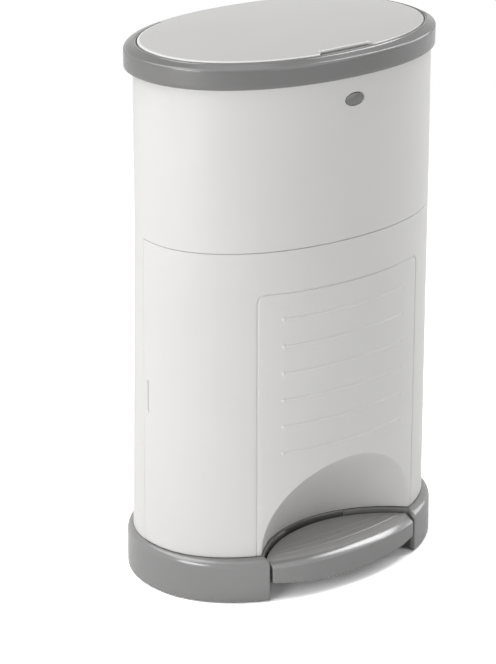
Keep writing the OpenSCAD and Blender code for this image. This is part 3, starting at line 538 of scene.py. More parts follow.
def buildBase():
    # A profile of ovals swept round from one side of the pedal's gap to the other
    arc = np.linspace(0, np.pi / 2, 15)
    u = np.concatenate([np.zeros(8), 1 - np.cos(arc), [1.0]])
    off = np.concatenate([[-1.2, -0.9, -0.5, -0.15], np.zeros(19), [-2.0]])
    tilt = np.concatenate([[-1.2, -0.9, -0.5, -0.2], np.zeros(4), arc, [np.pi / 2]])
    shoulder = base["top"] - base["round"] + base["round"] * np.sin(arc)
    z = np.concatenate([[1.0, 1.1, 1.35, 1.9, 2.4, 10, 20, 29], shoulder, [base["top"]]])
    a, b, shift = mixSection(base["section"], base["rest"], u)
    a, b = a + off, b + off
    start = frontAngle(a, base["gap"])
    f = spread((0, 0.004, 9), (0.004, 0.03, 6), (0.03, 0.97, 130), (0.97, 0.996, 6), (0.996, 1, 9))
    t = start[None] + f[:, None] * (np.pi - 2 * start)[None]
    section = (a[None], b[None], shift[None])
    x, y = ovalPoint(section, t)
    nx, ny = ovalNormal(section, t)
    flat, up = np.cos(tilt)[None], np.sin(tilt)[None]
    drop = edgeRound(np.where(y < 0, np.abs(x) - base["gap"], away), base["edge"])
    z = np.repeat(z[None], len(t), 0)
    outer, inner = pushed(x, y, z, nx, ny, (drop, -base["thickness"]), flat, up)
    return shellGrid("base_band", "bin", "grey_plastic", outer, inner)


buildBase()

# Cover ring: upright wall, rounded shoulder and a small lip down to the lid's ledge
ring = {"section": (138.0, 93.6, 0.9), "rest": (130.0, 85.4, 0.0), "top": 452.5, "round": 6.5,
        "thickness": 1.4, "rear": 64.6, "proud": 0.03, "corner": 2.0, "steep": 66.0}


def buildRing():
    # The same sweep as the base's, open at the rear where the lid's tail is. In front the shoulder is a small
    # corner and a straight slope, and towards the rear it becomes a quarter oval
    arc = np.linspace(0, np.pi / 2, 15)
    steep = np.radians(ring["steep"])
    turn = np.linspace(0, steep, 8)
    wide = ring["section"][0] - ring["rest"][0]
    rise = ring["corner"] * np.sin(turn)
    inset = np.append(ring["corner"] * (1 - np.cos(turn)),
                      np.linspace(ring["corner"] * (1 - np.cos(steep)), wide, 8)[1:])
    rise = np.append(rise, rise[-1] + (inset[8:] - inset[7]) / np.tan(steep))
    off = np.concatenate([[-0.7, -0.45, -0.15], np.zeros(18), [0.45, 0.12, 0.03, 0, 0, 0]])

    def rows(inset, rise, tilt):
        u = np.concatenate([np.zeros(7), inset, np.ones(5)])
        z = np.concatenate([[433.0, 433.08, 433.35, 433.8, 437, 441, 445.5],
                            ring["top"] - rise[-1] + rise[:-1], [452.5, 452.38, 452.2, 451.9, 450.6, 448.0]])
        turned = [np.pi / 2, 2.2, 2.7, np.pi, np.pi, np.pi]
        return u, z, np.concatenate([[-1.3, -0.9, -0.4], np.zeros(4), tilt, turned])

    roundRows = rows(1 - np.cos(arc), ring["round"] * np.sin(arc), arc[:-1])
    slopeRows = rows(inset / wide, rise, np.append(turn, np.full(6, steep)))
    a = mixSection(ring["section"], ring["rest"], roundRows[0])[0] + off + ring["proud"]
    start = np.arccos((ring["rear"] / a) ** (ovalPower / 2))
    f = spread((0, 1, 190))
    t = (np.pi - start)[None] + f[:, None] * (np.pi + 2 * start)[None]
    back = smoothStep(0, 60, ovalPoint(ring["section"], t[:, 3])[1])[:, None]
    u, z, tilt = (q[None] + (p - q)[None] * back for p, q in zip(roundRows, slopeRows))
    a, b, shift = mixSection(ring["section"], ring["rest"], u)
    section = (a + off + ring["proud"], b + off + ring["proud"], shift)
    x, y = ovalPoint(section, t)
    nx, ny = ovalNormal(section, t)
    flat, up = np.cos(tilt), np.sin(tilt)
    outer, inner = pushed(x, y, z, nx, ny, (0, -ring["thickness"]), flat, up)
    piece = shellGrid("ring_band", "cover", "grey_plastic", outer, inner)
    # Painted shade: the upward-facing shoulder is painted a little darker than the wall
    markPoints(piece, "shoulder", lambda x, y, z: smoothStep(448.6, 449.8, z), "ring_plastic")


buildRing()

# Lid: shallow dome with a soft chamfer round its edge and the lifting notch in front
lid = {"section": (127.2, 84.2, 0.0), "low": 451.0, "edge": 453.4, "top": 460.0, "power": 2.2,
       "notchHalf": 31.5, "notchFlat": 24.5, "notchDepth": 6.5, "thickness": 1.2, "span": 84.4}


def lidDome(own):
    # z = edge + (top - edge)(1 - s^2.2), s being the oval's own radius from 0 to 1
    return lid["edge"] + (lid["top"] - lid["edge"]) * (1 - own ** lid["power"])


def buildLid():
    # The outline with its notch is found along rays from the middle, and rings run in from it over the dome
    front, span = -lid["section"][1], lid["span"]
    middle, turn = -np.pi / 2, 0.30
    t = np.concatenate([np.linspace(middle + turn, 2 * np.pi + middle - turn, 170),
                        np.linspace(2 * np.pi + middle - turn, 2 * np.pi + middle + turn, 92)[1:-1]])
    x, y = ovalPoint(lid["section"], t)
    steep = (lid["notchDepth"] + 4) / (lid["notchHalf"] - lid["notchFlat"])

    def inside(k):
        slope = (np.abs(k * x) - lid["notchFlat"]) * steep
        return k * y > front + lid["notchDepth"] - smoothMax(slope, 0, 0.9)

    def chamferHighlight(px, py, pz):
        # Painted highlight along the oval edge, less so in front on the right, and along the notch
        edge = smoothStep(1 - 1.5 / span, 1 - 1.1 / span, ovalShare(lid["section"], px, py))
        edge = edge * (1 - 0.8 * smoothStep(25, 75, px) * (py < 0))
        fromNotch = py - front - lid["notchDepth"]
        notch = (1 - smoothStep(1.1, 1.5, fromNotch)) * (np.abs(px) < 25.3) * (py < 0)
        return np.maximum(edge, notch) * smoothStep(452.2, 452.6, pz)

    k = np.where(y < 0, halve(np.full_like(t, 0.5), np.ones_like(t), inside), 1)
    inset = np.concatenate([[0.8, 0.35, 0.06, 0.0, 0.0, 0.1, 0.32, 0.68], [1.8, 2.6, 4.5, 8],
                            np.linspace(12, 84, 16)])
    height = np.array([451.0, 451.1, 451.5, 451.9, 452.55, 452.95, 453.25, 453.42])
    reach = 1 - inset / span
    reach[-1] = 0.0
    px, py = (k * x)[:, None] * reach[None], (k * y)[:, None] * reach[None]
    dome = lidDome(ovalShare(lid["section"], px, py))
    z = dome + np.interp(inset, [0.68, 1.8, 2.6, 4.5], [-0.25, -0.12, -0.02, 0])[None]
    z[:, :5] = height[None, :5]
    lift = (dome[:, 7] - 0.25 - height[7])[:, None]
    z[:, 3:8] = height[None, 3:8] + lift * np.linspace(0.2, 1, 5)[None]
    small = 1 - lid["thickness"] / span
    inner = np.stack([px * small, py * small, np.maximum(z - lid["thickness"], lid["low"])], 2)
    piece = shellGrid("lid_top", "lid", "lid_plastic", np.stack([px, py, z], 2), inner, None, True, 50)
    markPoints(piece, "chamferHighlight", chamferHighlight, "lid_plastic")


buildLid()

# Tail of the lid: it closes the ring's rear over the hinge, with a window for each ear
tail = {"half": 63.9, "windowIn": 30.2, "windowOut": 38.3, "windowTop": 447.0, "axis": (89.0, 445.5),
        "barrel": 5.3, "rim": (127.6, 84.5, 0.0), "proud": 0.05, "thickness": 1.0}


def buildTail():
    # Columns at constant x, rows up the ring's own wall and shoulder and level in to the lid's rim
    edges = [0, 29.7, tail["windowIn"], tail["windowOut"], 38.8, tail["half"] - 0.5, tail["half"]]
    counts = [16, 1, 6, 1, 16, 3]
    xs = mirrored(spread(*zip(edges, edges[1:], counts)))
    high = ring["top"] - ring["round"]
    windowArc = np.arcsin((tail["windowTop"] - high) / ring["round"])
    arc = np.concatenate([[0, windowArc], np.linspace(0.25, np.pi / 2, 12)])
    u = np.concatenate([np.zeros(6), 1 - np.cos(arc)])
    a, b, shift = mixSection(ring["section"], ring["rest"], u)
    a, b, shift = np.append(a, tail["rim"][0]), np.append(b, tail["rim"][1]), np.append(shift, 0)
    tilt = np.concatenate([np.zeros(6), arc, [np.pi / 2]])
    wallY = 2 * ring["section"][2] - frontY(ring["section"], xs)
    low = tail["axis"][1] - np.sqrt(np.clip(tail["barrel"] ** 2 - (wallY - tail["axis"][0]) ** 2, 0, None))
    rise = low[:, None] + (high - low)[:, None] * np.linspace(0, 1, 7)[None, :-1]
    shoulder = high + ring["round"] * np.sin(np.append(arc, np.pi / 2))
    z = np.hstack([rise, np.repeat(shoulder[None], len(xs), 0)])
    y = np.stack([2 * c - frontY((p, q, c), xs) for p, q, c in zip(a, b, shift)], 1)
    t = np.arccos(np.clip(np.sign(xs)[:, None] * np.abs(xs[:, None] / a[None]) ** (ovalPower / 2), -1, 1))
    _, ny = ovalNormal((a[None], b[None], shift[None]), t)
    flat, up = np.cos(tilt)[None], np.sin(tilt)[None]
    side = edgeRound(tail["half"] - np.abs(xs), 0.4)[:, None] + tail["proud"]
    x = np.repeat(xs[:, None], y.shape[1], 1)
    outer, inner = pushed(x, y, z, 0, ny, (side, -tail["thickness"]), flat, up)
    window = (np.abs(xs) >= tail["windowIn"] - 1e-6) & (np.abs(xs) <= tail["windowOut"] + 1e-6)
    between = window[:-1] & window[1:]
    mask = np.ones(y.shape, bool)
    mask[:-1, :7] = ~between[:, None]
    return shellGrid("lid_tail", "lid", "lid_plastic", outer, inner, mask)


buildTail()

# Tongue of the ring that fills the lid's notch and slopes down inward
tongue = {"half": 31.0, "flat": 24.9, "front": -85.2, "rear": -78.3, "high": 452.5, "low": 451.9,
          "slope": 0.2, "thickness": 1.3}


def buildTongue():
    # Columns across, rows from the ring's lip to the notch's edge, with a small step halfway
    xs = np.linspace(-tongue["half"], tongue["half"], 63)
    f = spread((0, 0.45, 8), (0.45, 0.6, 8), (0.6, 1, 8))
    reach = np.clip((tongue["half"] - np.abs(xs)) / (tongue["half"] - tongue["flat"]), 0, 1)
    front = frontY((ring["rest"][0], ring["rest"][1], 0), xs) + 0.02
    rear = tongue["front"] + (tongue["rear"] - tongue["front"]) * reach
    rear = np.maximum(rear, front + 0.15)
    y = front[:, None] + f[None] * (rear - front)[:, None]
    step = (tongue["high"] - tongue["low"] - tongue["slope"]) * smoothStep(0.45, 0.6, f)
    z = tongue["high"] - tongue["slope"] * f - step
    outer = np.stack([xs[:, None] + 0 * y, y, z[None] + 0 * y], 2)
    inner = outer - np.array([0, 0, tongue["thickness"]])
    return shellGrid("ring_tongue", "cover", "grey_plastic", outer, inner)


buildTongue()

# Pedal: front wall, rounded nose, flat tread with three fine ridges and a curved rear edge
pedal = {
    "section": (140.0, 100.0, 0.0), "half": 75.5, "rearRadius": 103.6, "rearCentre": -147.5, "top": 34.0,
    "corner": 1.0, "slopes": (36.0, 24.0), "slopeEnd": 5.8, "noseDepth": 11.0, "belly": 11.0, "low": 16.5,
    "lowRound": 0.8, "thickness": 1.2, "ridges": ((-82.0, 6.3, 67.0), (-74.5, 5.0, 60.0), (-67.0, 4.0, 48.0)),
    "ridge": 0.55, "ridgeHalf": 0.9,
}

# Recess band: the base's wall behind the pedal, stepped back in the middle
recess = {"centre": -147.5, "radius": 105.0, "half": 78.0, "step": 2.3, "stepHalf": 32.0, "low": 12.0,
          "top": 37.6, "round": 0.7, "deck": 2.4, "thickness": 0.5}


def buildRecess():
    # Rows up the wall and over its rounded upper edge onto the deck, columns round the recess by angle
    wide = np.arcsin(recess["half"] / recess["radius"])
    mark = np.arcsin(recess["stepHalf"] / recess["radius"])
    angle = mirrored(spread((0, mark - 0.012, 30), (mark - 0.012, mark + 0.012, 16), (mark + 0.012, wide, 40)))
    step = recess["step"] * (1 - smoothStep(mark - 0.002, mark + 0.002, np.abs(angle)))
    arc = np.linspace(0, np.pi / 2, 6)
    low, top, r = recess["low"], recess["top"], recess["round"]
    z = np.concatenate([np.linspace(low, top - r, 6)[:-1], top - r + r * np.sin(arc), [top]])
    out = np.concatenate([np.zeros(5), r * (1 - np.cos(arc)), [recess["deck"]]])
    deep = (recess["radius"] - 0.02 + step)[:, None] + out[None]
    deep[:, -1] = recess["radius"] + recess["step"] + recess["deck"]
    z = np.repeat(z[None], len(angle), 0) + 0.02 * (out > 0)[None]
    sine, cosine = np.sin(angle)[:, None], np.cos(angle)[:, None]
    flat = np.concatenate([np.ones(5), np.cos(arc), [0.0]])[None]
    rise = np.concatenate([np.zeros(5), np.sin(arc), [1.0]])[None]
    outer, inner = (np.stack([far * sine, recess["centre"] + far * cosine, z - d * rise], 2)
                    for d, far in ((0, deep), (recess["thickness"], deep + recess["thickness"] * flat)))
    return shellGrid("recess_band", "bin", "grey_plastic", outer, inner)


buildRecess()


def gridNormals(p):
    # Cross product of the grid's two directions, made one long
    du, dv = np.gradient(p, axis=0), np.gradient(p, axis=1)
    n = np.cross(du, dv)
    return n / np.maximum(np.linalg.norm(n, axis=2, keepdims=True), 1e-9)


def pedalLow(x):
    # Height of the pedal's lower front edge: an arc that hangs lowest in the middle
    belly = pedal["belly"]
    rise = pedal["low"] - belly
    r = (pedal["half"] ** 2 + rise ** 2) / (2 * rise)
    return belly + r - np.sqrt(r ** 2 - np.asarray(x) ** 2)


def buildPedal():
    # Columns at constant x, rows from the lower front edge over the nose to the rear edge
    half = pedal["half"]
    xs = spread((-half, -half + 1.4, 7), (-half + 1.4, -half + 8, 6), (-half + 8, half - 8, 84),
                (half - 8, half - 1.4, 6), (half - 1.4, half, 7))
    a, b, _ = pedal["section"]
    lowZ = pedalLow(xs)
    drop = -edgeRound(half - np.abs(xs), 1.1)
    # The nose: a small corner, then a slope that eases from steep to shallow and at last to level
    corner, top, end, depth = (pedal[key] for key in ("corner", "top", "slopeEnd", "noseDepth"))
    steep, shallow = np.radians(pedal["slopes"])
    turn = np.linspace(0, np.pi / 2 - steep, 7)
    first = corner * (1 - np.sin(steep))
    along = np.concatenate([np.linspace(first, end, 11), np.linspace(end, depth, 7)[1:]])
    lean = np.interp(along, [first, end, depth], [steep, shallow, 0])
    climb = np.append(0, np.cumsum(np.tan((lean[1:] + lean[:-1]) / 2) * np.diff(along)))
    inset = np.concatenate([corner * (1 - np.cos(turn)), along[1:]])
    rise = np.concatenate([corner * np.sin(turn), corner * np.cos(steep) + climb[1:]])
    nose, r = rise[-1], pedal["lowRound"]
    rows = [(r * (1 - np.sin(q)), lowZ + r * (1 - np.cos(q))) for q in np.linspace(0, np.pi / 2, 6)]
    rows += [(0.0, lowZ + (top - nose - lowZ) * u) for u in (0.3, 0.6, 0.9)]
    rows += [(back, np.full_like(xs, top - nose + up)) for back, up in zip(inset, rise)]
    front = np.stack([frontY((a - i, b - i, 0), xs) for i, _ in rows], 1)
    heights = np.stack([h for _, h in rows], 1)
    rear = pedal["rearCentre"] + np.sqrt(pedal["rearRadius"] ** 2 - xs ** 2)
    f = np.linspace(0, 1, 150)[1:]
    start = front[:, -1:]
    treadY = start + f[None] * (rear[:, None] - start)
    treadZ = np.full_like(treadY, top)
    inset = rear[:, None] - treadY
    span = smoothStep(0.5, 3.0, inset) * smoothStep(0.5, 4.0, half - np.abs(xs))[:, None]
    for place, bow, reach in pedal["ridges"]:
        line = place + bow * (xs / 62.0) ** 2
        ends = 1 - smoothStep(reach - 3, reach, np.abs(xs))
        swell = 1 - smoothStep(0.1, pedal["ridgeHalf"], np.abs(treadY - line[:, None]))
        treadZ += pedal["ridge"] * span * ends[:, None] * swell
    treadZ += edgeRound(inset, 1.2)
    backY = np.repeat(rear[:, None], 3, 1)
    backZ = top - np.repeat([[1.6, 4.0, 9.0]], len(xs), 0)
    z = np.hstack([heights, treadZ, backZ])
    z = z - drop[:, None] * (z > 24)
    upright = np.concatenate([np.ones(front.shape[1] - 6), np.zeros(6 + len(f) + 3)])
    y = np.hstack([front, treadY, backY]) + drop[:, None] * upright[None]
    outer = np.stack([np.repeat(xs[:, None], y.shape[1], 1), y, z], 2)
    n = gridNormals(outer)
    n = n * np.where(n[len(xs) // 2, 40, 2] > 0, 1, -1)
    inner = outer - n * pedal["thickness"]
    piece = shellGrid("pedal_shell", "pedal", "grey_plastic", outer, inner)

    def level(px, py, pz):
        # Painted light: the tread is painted a little lighter than the pedal's front
        off, _, _ = outsideOf(pedal["section"], px, py)
        return smoothStep(3.0, 8.0, -off) * smoothStep(top - 1.2, top - 0.5, pz)

    markPoints(piece, "tread", level, "tread_plastic")


buildPedal()

# Button: low dome with a rounded edge in the body's hole
button = {"half": (9.3, 5.0), "place": 1.3, "centre": 414.5, "face": -90.5, "dome": 0.6, "round": 0.7,
          "rim": -90.0, "back": -87.5}


def buildButton():
    # Rings of the oval from the back edge over the rounded rim to the middle of the dome
    halfX, halfZ = button["half"]
    t = np.linspace(0, 2 * np.pi, 73)[:-1]
    arc = np.linspace(0, np.pi / 2, 6)
    r, inward = button["round"], np.array([1.6, 2.5, 3.5, 4.4, 5.0])
    inset = np.concatenate([[0, 0], r * (1 - np.cos(arc)), inward])
    dome = button["dome"] * ((1 - inward / halfZ) ** 2 - (1 - r / halfZ) ** 2)
    face = button["face"]
    y = np.concatenate([[button["back"], button["rim"]], face + r * (1 - np.sin(arc)), face + dome])
    x = (halfX - inset * halfX / halfZ * (inset > 1) - inset * (inset <= 1))[None] * np.cos(t)[:, None]
    z = (halfZ - inset)[None] * np.sin(t)[:, None]
    x[:, -1], z[:, -1] = 0, 0
    outer = np.stack([x, np.repeat(y[None], len(t), 0), z + button["centre"]], 2)
    inner = outer * np.array([0.9, 1, 1]) + np.array([0, 1.0, 0])
    inner[:, :, 2] = button["centre"] + (inner[:, :, 2] - button["centre"]) * 0.86
    inner[:, 0, 1] = button["back"]
    outer[:, :, 0] += button["place"]
    inner[:, :, 0] += button["place"]
    return shellGrid("button_face", "latch", "grey_plastic", outer, inner, closed=True)


buildButton()

# Door: the framed, ribbed front with the domed toe recess
door = {
    "thickness": 1.4, "edge": 0.9, "leftEdge": 0.25, "topEdge": 0.5, "low": 38.0, "top": 299.7,
    "left": 9.7, "hingeX": 126.5, "right": 15.0,
    "panelHalf": 82.5, "panelTop": 264.5, "corner": 7.0, "groove": 0.75, "grooveHalf": 0.8,
    "ribs": (242.2, 219.1, 196.0, 172.9, 149.8, 126.7), "ribHalf": 62.5, "ribWide": 1.1, "ribOut": 0.6,
    "dotIn": 0.6, "dotWide": 1.5, "dotOut": 1.0, "pull": (7.4, 28.5, 167.0, 1.4),
    "holeX": 81.4, "holeTop": 124.0,
    "toeCentre": -147.5, "toeRadius": 107.0, "toeLow": 37.6, "toeHigh": 85.9, "blend": 1.2,
}


def toeRadius(z):
    # The recess is an ellipsoid of revolution: R(z) = R0 sqrt(1 - ((z - z0)/h)^2)
    w = np.clip((z - door["toeLow"]) / door["toeHigh"], 0, 0.9999)
    return door["toeRadius"] * np.sqrt(1 - w * w)


def doorDrop(x, z, flankIn, distance):
    # Panel groove, ribs, finger pull and rounded border as one offset along the wall's normal
    cornerX, cornerZ = door["panelHalf"] - door["corner"], door["panelTop"] - door["corner"]
    ax = np.abs(x)
    outX, outZ = ax - cornerX, z - cornerZ
    bend = np.hypot(np.maximum(outX, 0), np.maximum(outZ, 0)) - door["corner"]
    straight = np.maximum(ax - door["panelHalf"], z - door["panelTop"])
    frameLine = np.where((outX > 0) & (outZ > 0), bend, straight)
    line = 1 - smoothStep(door["grooveHalf"] * 0.45, door["grooveHalf"], np.abs(frameLine))
    drop = -door["groove"] * line
    for rib in door["ribs"]:
        along = np.maximum(ax - (door["ribHalf"] - door["ribWide"]), 0)
        fromRib = np.hypot(along, z - rib) / door["ribWide"]
        fromDot = np.hypot(ax - door["ribHalf"] + door["dotIn"], z - rib) / door["dotWide"]
        drop = drop + np.maximum(door["ribOut"] * np.sqrt(np.clip(1 - fromRib ** 2, 0, 1)),
                                 door["dotOut"] * np.sqrt(np.clip(1 - fromDot ** 2, 0, 1)))
    wide, tall, middle, deep = door["pull"]
    inX = wide - flankIn
    inZ = tall / 2 - np.abs(z - middle)
    # The pull is deepest at its front edge and runs out towards the door's own edge
    scoop = smoothStep(0.0, 0.5, inX) * smoothStep(0.0, 0.5, inZ) * (1 - smoothStep(0.9, 5.5, inX))
    drop = drop - deep * scoop
    return drop + edgeRound(distance, door["edge"])


def buildDoor():
    # Main grid of columns round the front, with a rectangle left out for the toe recess
    groove = (80.0, 81.4, 81.8, 82.1, 82.5, 82.9, 83.2, 83.6, 86.0)
    rights = spread((0, 58, 22), (58, 60.2, 2), (60.2, 63.6, 12), (63.6, 80, 7))
    xs = mirrored(np.concatenate([rights[:-1], groove]))
    zs = [38.0, 38.06, 38.2, 38.45] + list(np.linspace(38.9, 124.0, 40))
    ribRows = np.array([0.3, 0.6, 0.85, 1.02, 1.1, 1.3, 1.45, 1.6])
    ribRows = np.concatenate([-ribRows[::-1], [0], ribRows])
    for rib in door["ribs"][::-1]:
        if rib + ribRows[0] - zs[-1] > 3:
            zs += list(np.linspace(zs[-1], rib + ribRows[0], 5)[1:-1])
        zs += list(rib + ribRows)
    zs += list(np.linspace(zs[-1], 256.5, 5)[1:]) + list(np.linspace(256.5, 262.9, 10)[1:])
    zs += [263.4, 263.7, 264.0, 264.25, 264.5, 264.75, 265.0, 265.3, 265.8]
    zs += list(np.linspace(267.5, 298.2, 8)) + [298.7, 299.1, 299.35, 299.5, 299.6, 299.66, 299.7]
    pullEnds = [152.6, 152.75, 152.9, 153.1, 153.3, 180.9, 181.1, 181.25, 181.4]
    zs = np.unique(np.round(zs + pullEnds, 3))
    sec = bodySection(zs)
    f = spread((0, 0.9, 34), (0.9, 0.925, 4), (0.925, 0.945, 8), (0.945, 0.986, 6), (0.986, 1, 9))[1:]
    edgeX = 86.0
    tEdge = frontAngle(sec[0], edgeX)
    right = circleCrossing(sec, door["hingeX"], door["right"])
    left = flankAngle(sec, door["left"])
    rightT = tEdge[None] + f[:, None] * (right - tEdge)[None]
    leftT = -np.pi - (tEdge[None] + f[:, None] * (left - tEdge)[None])
    middleT = frontAngle(sec[0][None], xs[:, None] + np.zeros_like(zs)[None])
    t = np.concatenate([leftT[::-1], middleT, rightT])
    z = np.repeat(zs[None], len(t), 0)
    section = (sec[0][None], sec[1][None], sec[2][None])
    x, y = ovalPoint(section, t)
    nx, ny = ovalNormal(section, t)
    rightY = ovalPoint(sec, right)[1]
    side = np.where(x > flankFrom, rightY[None] - y, away)
    under = (door["top"] - z) * door["edge"] / door["topEdge"]
    distance = np.minimum(np.minimum(side, under), z - door["low"])
    flankIn = np.where(x < -flankFrom, door["left"] - y, away)
    drop = doorDrop(x, z, flankIn, distance) + edgeRound(flankIn, door["leftEdge"])
    outer, inner = pushed(x, y, z, nx, ny, (drop, np.minimum(drop, 0) - door["thickness"]))
    columns = np.concatenate([np.full(len(f), -200.0), xs, np.full(len(f), 200.0)])
    inHole = (columns >= -door["holeX"] - 1e-6) & (columns < door["holeX"] - 1e-6)
    mask = ~(inHole[:, None] & (zs < door["holeTop"] - 1e-6)[None])
    top = int(np.argmin(np.abs(zs - door["holeTop"])))
    i0 = int(np.argmin(np.abs(columns + door["holeX"])))
    i1 = int(np.argmin(np.abs(columns - door["holeX"])))
    ri = np.concatenate([np.full(top, i1), np.arange(i1, i0, -1), np.full(top + 1, i0)])
    rj = np.concatenate([np.arange(top), np.full(i1 - i0, top), np.arange(top, -1, -1)])
    toeOuter, toeInner = buildToe(x[ri, rj], z[ri, rj], outer[ri, rj], inner[ri, rj])
    return outer, inner, mask, (toeOuter, toeInner, ri * len(zs) + rj)


def toeSurface(x, z):
    # y of the front wall, and of the dome where it reaches
    wallY = frontY(bodySection(z), x)
    r = toeRadius(z)
    domeY = door["toeCentre"] + np.sqrt(np.maximum(r * r - x * x, 0))
    domeY = np.where(np.abs(x) < r, domeY, -400)
    return wallY, domeY


def buildToe(ox, oz, outerRing, innerRing):
    # Rays from the recess's foot to the rectangle's border, packed where they cross the arch
    n = len(ox)
    turn = np.arctan2(oz - door["low"], ox)
    ix, iz = 60 * np.cos(turn), np.full(n, door["low"])

    def inside(a):
        wallY, domeY = toeSurface(ix + a * (ox - ix), iz + a * (oz - iz))
        return domeY > wallY

    cross = halve(np.zeros(n), np.ones(n), inside)
    length = np.hypot(ox - ix, oz - iz)
    pack = np.array([-1, -0.86, -0.72, -0.6, -0.5, -0.4, -0.32, -0.25, -0.19, -0.145])
    behind, ahead = 6.5, 3.4
    steps = np.array([-6.5, -5.4, -4.9, -4.5, -4.1, -3.6, -2.6, -1.8, -1.3, -0.9, -0.6, -0.3,
                      0, 0.3, 0.6, 0.9, 1.3, 1.8, 2.6])
    back = np.maximum(cross - behind / length, cross * 0.5)
    cols = [back * (1 + p) / (1 + pack[-1]) for p in pack]
    scaleBack = np.minimum(1, (cross - back) * length / behind)
    scaleAhead = np.minimum(1, (1 - cross) * length / ahead)
    cols += [cross + s * (scaleBack if s < 0 else scaleAhead) / length for s in steps]
    cols += [cols[-1] + (1 - cols[-1]) * q for q in (0.15, 0.35, 0.6, 0.8, 1.0)]
    a = np.stack(cols, 1)
    a = np.maximum.accumulate(a, 1)
    px, pz = ix[:, None] + a * (ox - ix)[:, None], iz[:, None] + a * (oz - iz)[:, None]
    wallY, domeY = toeSurface(px, pz)
    distance = pz - door["low"]
    drop = edgeRound(distance, door["edge"])
    y = smoothMax(wallY, domeY, door["blend"])
    y = np.where(np.abs(wallY - domeY) > 12, np.maximum(wallY, domeY), y)
    section = bodySection(pz)
    t = frontAngle(section[0], px)
    nx, ny = ovalNormal(section, t)
    r = toeRadius(pz)
    gx, gy = -px / r, -(y - door["toeCentre"]) / r
    gz = -(pz - door["toeLow"]) * (door["toeRadius"] / door["toeHigh"]) ** 2 / r
    size = np.sqrt(gx ** 2 + gy ** 2 + gz ** 2)
    inDome = smoothStep(-1.5, 1.5, domeY - wallY)
    mx = nx * (1 - inDome) + gx / size * inDome
    my = ny * (1 - inDome) + gy / size * inDome
    mz = gz / size * inDome
    size = np.sqrt(mx ** 2 + my ** 2 + mz ** 2)
    mx, my, mz = mx / size, my / size, mz / size
    outer = np.stack([px + mx * drop, y + my * drop, pz], 2)
    deep = -door["thickness"]
    inner = np.stack([px + mx * deep, y + my * deep, np.maximum(pz + mz * deep, door["low"])], 2)
    outer[:, -1], inner[:, -1] = outerRing, innerRing
    return outer, inner


def joinDoor():
    # The toe patch takes the main grid's own points along the rectangle
    outer, inner, mask, (toeOuter, toeInner, border) = buildDoor()
    rows, columns = outer.shape[:2]
    start = rows * columns
    faces = gridFaces(rows, columns, mask)
    patch = gridFaces(toeOuter.shape[0], toeOuter.shape[1], None, start)
    last = start + np.arange(toeOuter.shape[0]) * toeOuter.shape[1] + toeOuter.shape[1] - 1
    swap = np.arange(start + toeOuter.shape[0] * toeOuter.shape[1])
    swap[last] = border
    allOuter = np.concatenate([outer.reshape(-1, 3), toeOuter.reshape(-1, 3)])
    allInner = np.concatenate([inner.reshape(-1, 3), toeInner.reshape(-1, 3)])
    # The patch's rays run up from the right, so its faces are turned over to agree with the grid's
    faces = np.concatenate([faces, swap[patch][:, ::-1]])
    piece = shellPiece("door_front", "door", "white_plastic", allOuter, allInner, faces, 35)
    wide, tall, middle, _ = door["pull"]

    def shade(px, py, pz):
        # Painted shade: the finger pull is painted a little darker where it is deepest
        inX = wide - door["left"] + py
        line = smoothStep(0.2, 0.8, inX) * (1 - smoothStep(2.3, 3.3, inX)) * (px < -flankFrom)
        return line * (1 - smoothStep(tall / 2 - 0.4, tall / 2, np.abs(pz - middle)))

    markPoints(piece, "shade", shade, "door_plastic")


joinDoor()
print("custom pieces ready")


def baseSection(z):
    # The base's oval
    return shoulderSection(base, z)


def ringSection(z):
    # The ring's oval, set back further where the finished shoulder slopes
    a, b, shift = shoulderSection(ring, z)
    more = smoothStep(446.0, 448.5, z) * (z < 452.4)
    return a - more, b - more, shift


def toeClamp(x, y, z):
    # Keeps the door's own points behind the dome of the toe recess
    r = toeRadius(z) + 1.5
    far = np.hypot(x, y - door["toeCentre"])
    inside = (far < r) & (z < door["toeLow"] + door["toeHigh"]) & (y < -30)
    k = np.where(inside, r / np.maximum(far, 1), 1)
    return x * k, door["toeCentre"] + (y - door["toeCentre"]) * k, z


def recessBack(x, y, z):
    # Sets the base's wall behind the pedal back under the finished band
    far = np.hypot(x, y - recess["centre"])
    near = (np.abs(far - recess["radius"] - 0.8) < 1.2) & (y < -30) & (z > 5)
    near = near & (np.abs(x) < recess["half"] - 0.3)
    k = np.where(near, (far + 0.9) / np.maximum(far, 1), 1)
    return x * k, recess["centre"] + (y - recess["centre"]) * k, np.where(near & (z > 37), z - 0.8, z)


def ledgeDown(x, y, z):
    # Lowers the lid's ledge, so that the gap round the lid is dark
    return x, y, np.where((z > 450.2) & (z < 451.0), 448.4, z)


def keepRear(move, half):
    # Leaves a stretch at the rear as it is
    def kept(p):
        q = move(p)
        return np.where(((np.abs(p[:, 0]) < half) & (p[:, 1] > 0))[:, None], p, q)
    return kept


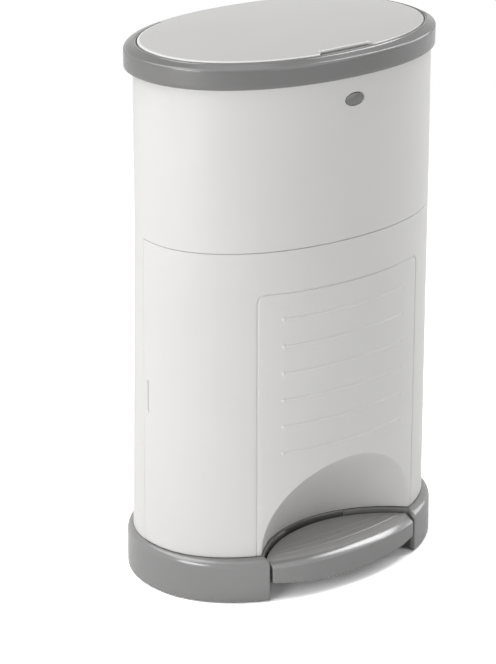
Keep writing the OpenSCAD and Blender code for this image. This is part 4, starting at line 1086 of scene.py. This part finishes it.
def lidDown(p):
    # Sinks the CAD lid's dome and wall under the finished dome
    x, y, z = p[:, 0].copy(), p[:, 1].copy(), p[:, 2].copy()
    own = ovalShare(lid["section"], x, y)
    dome = lidDome(np.minimum(own, 1))
    inTail = (y > 0) & (np.abs(x) < tail["half"] + 3.1)
    inPlan = own < np.where(inTail, 0.985, 1.022)
    z = np.where(inPlan & (z > dome - 1.3) & (z > 452), dome - 1.3, z)
    k = np.where(inPlan & (own > 0.982) & (z > 450.9), 0.982 / np.maximum(own, 0.5), 1)
    return np.stack([x * k, y * k, z], 1)


def pedalIn(p):
    # Draws the CAD pedal's skin in under the finished one
    x, y, z = p[:, 0].copy(), p[:, 1].copy(), p[:, 2].copy()
    off, nx, ny = outsideOf(pedal["section"], x, y)
    limit = pedal["top"] - 1.4 - 2.4 * np.clip((off + pedal["noseDepth"]) / 9.7, 0, 1)
    z = np.minimum(z, limit)
    skin, r = 1.3, pedal["rearRadius"]
    shift = np.where(off > -skin, off + skin, 0)
    x = np.clip(x - nx * shift, skin - pedal["half"], pedal["half"] - skin)
    y = y - ny * shift - pedal["rearCentre"]
    z = np.where((off > -6) & (z < pedalLow(x) + skin), pedalLow(x) + skin, z)
    far = np.hypot(x, y)
    k = np.where((far > r - skin) & (far < r + 0.3), (r - skin) / far, 1)
    return np.stack([x * k, pedal["rearCentre"] + y * k, z], 1)


def buttonIn(p):
    # Sets the front of the CAD button back behind the finished face
    q = p.copy()
    q[:, 1] = np.maximum(p[:, 1], button["face"] + 2)
    return q


moves = {
    "body_shell": clampIn(1.5, bodySection),
    "front_door": clampIn(1.5, bodySection, toeClamp),
    "base_tray": clampIn(1.5, baseSection, recessBack),
    "cover_ring": keepRear(clampIn(1.5, ringSection, ledgeDown), 72),
    "lid": lidDown,
    "pedal": pedalIn,
    "latch_button": buttonIn,
}
finished = {node: smoothCopy(node, move=moves.get(node)) for node in frame["nodes"]}
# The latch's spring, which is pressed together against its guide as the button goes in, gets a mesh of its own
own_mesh(finished["latch_spring"])
print("smoothed copies of the CAD pieces:", len(frame["nodes"]))
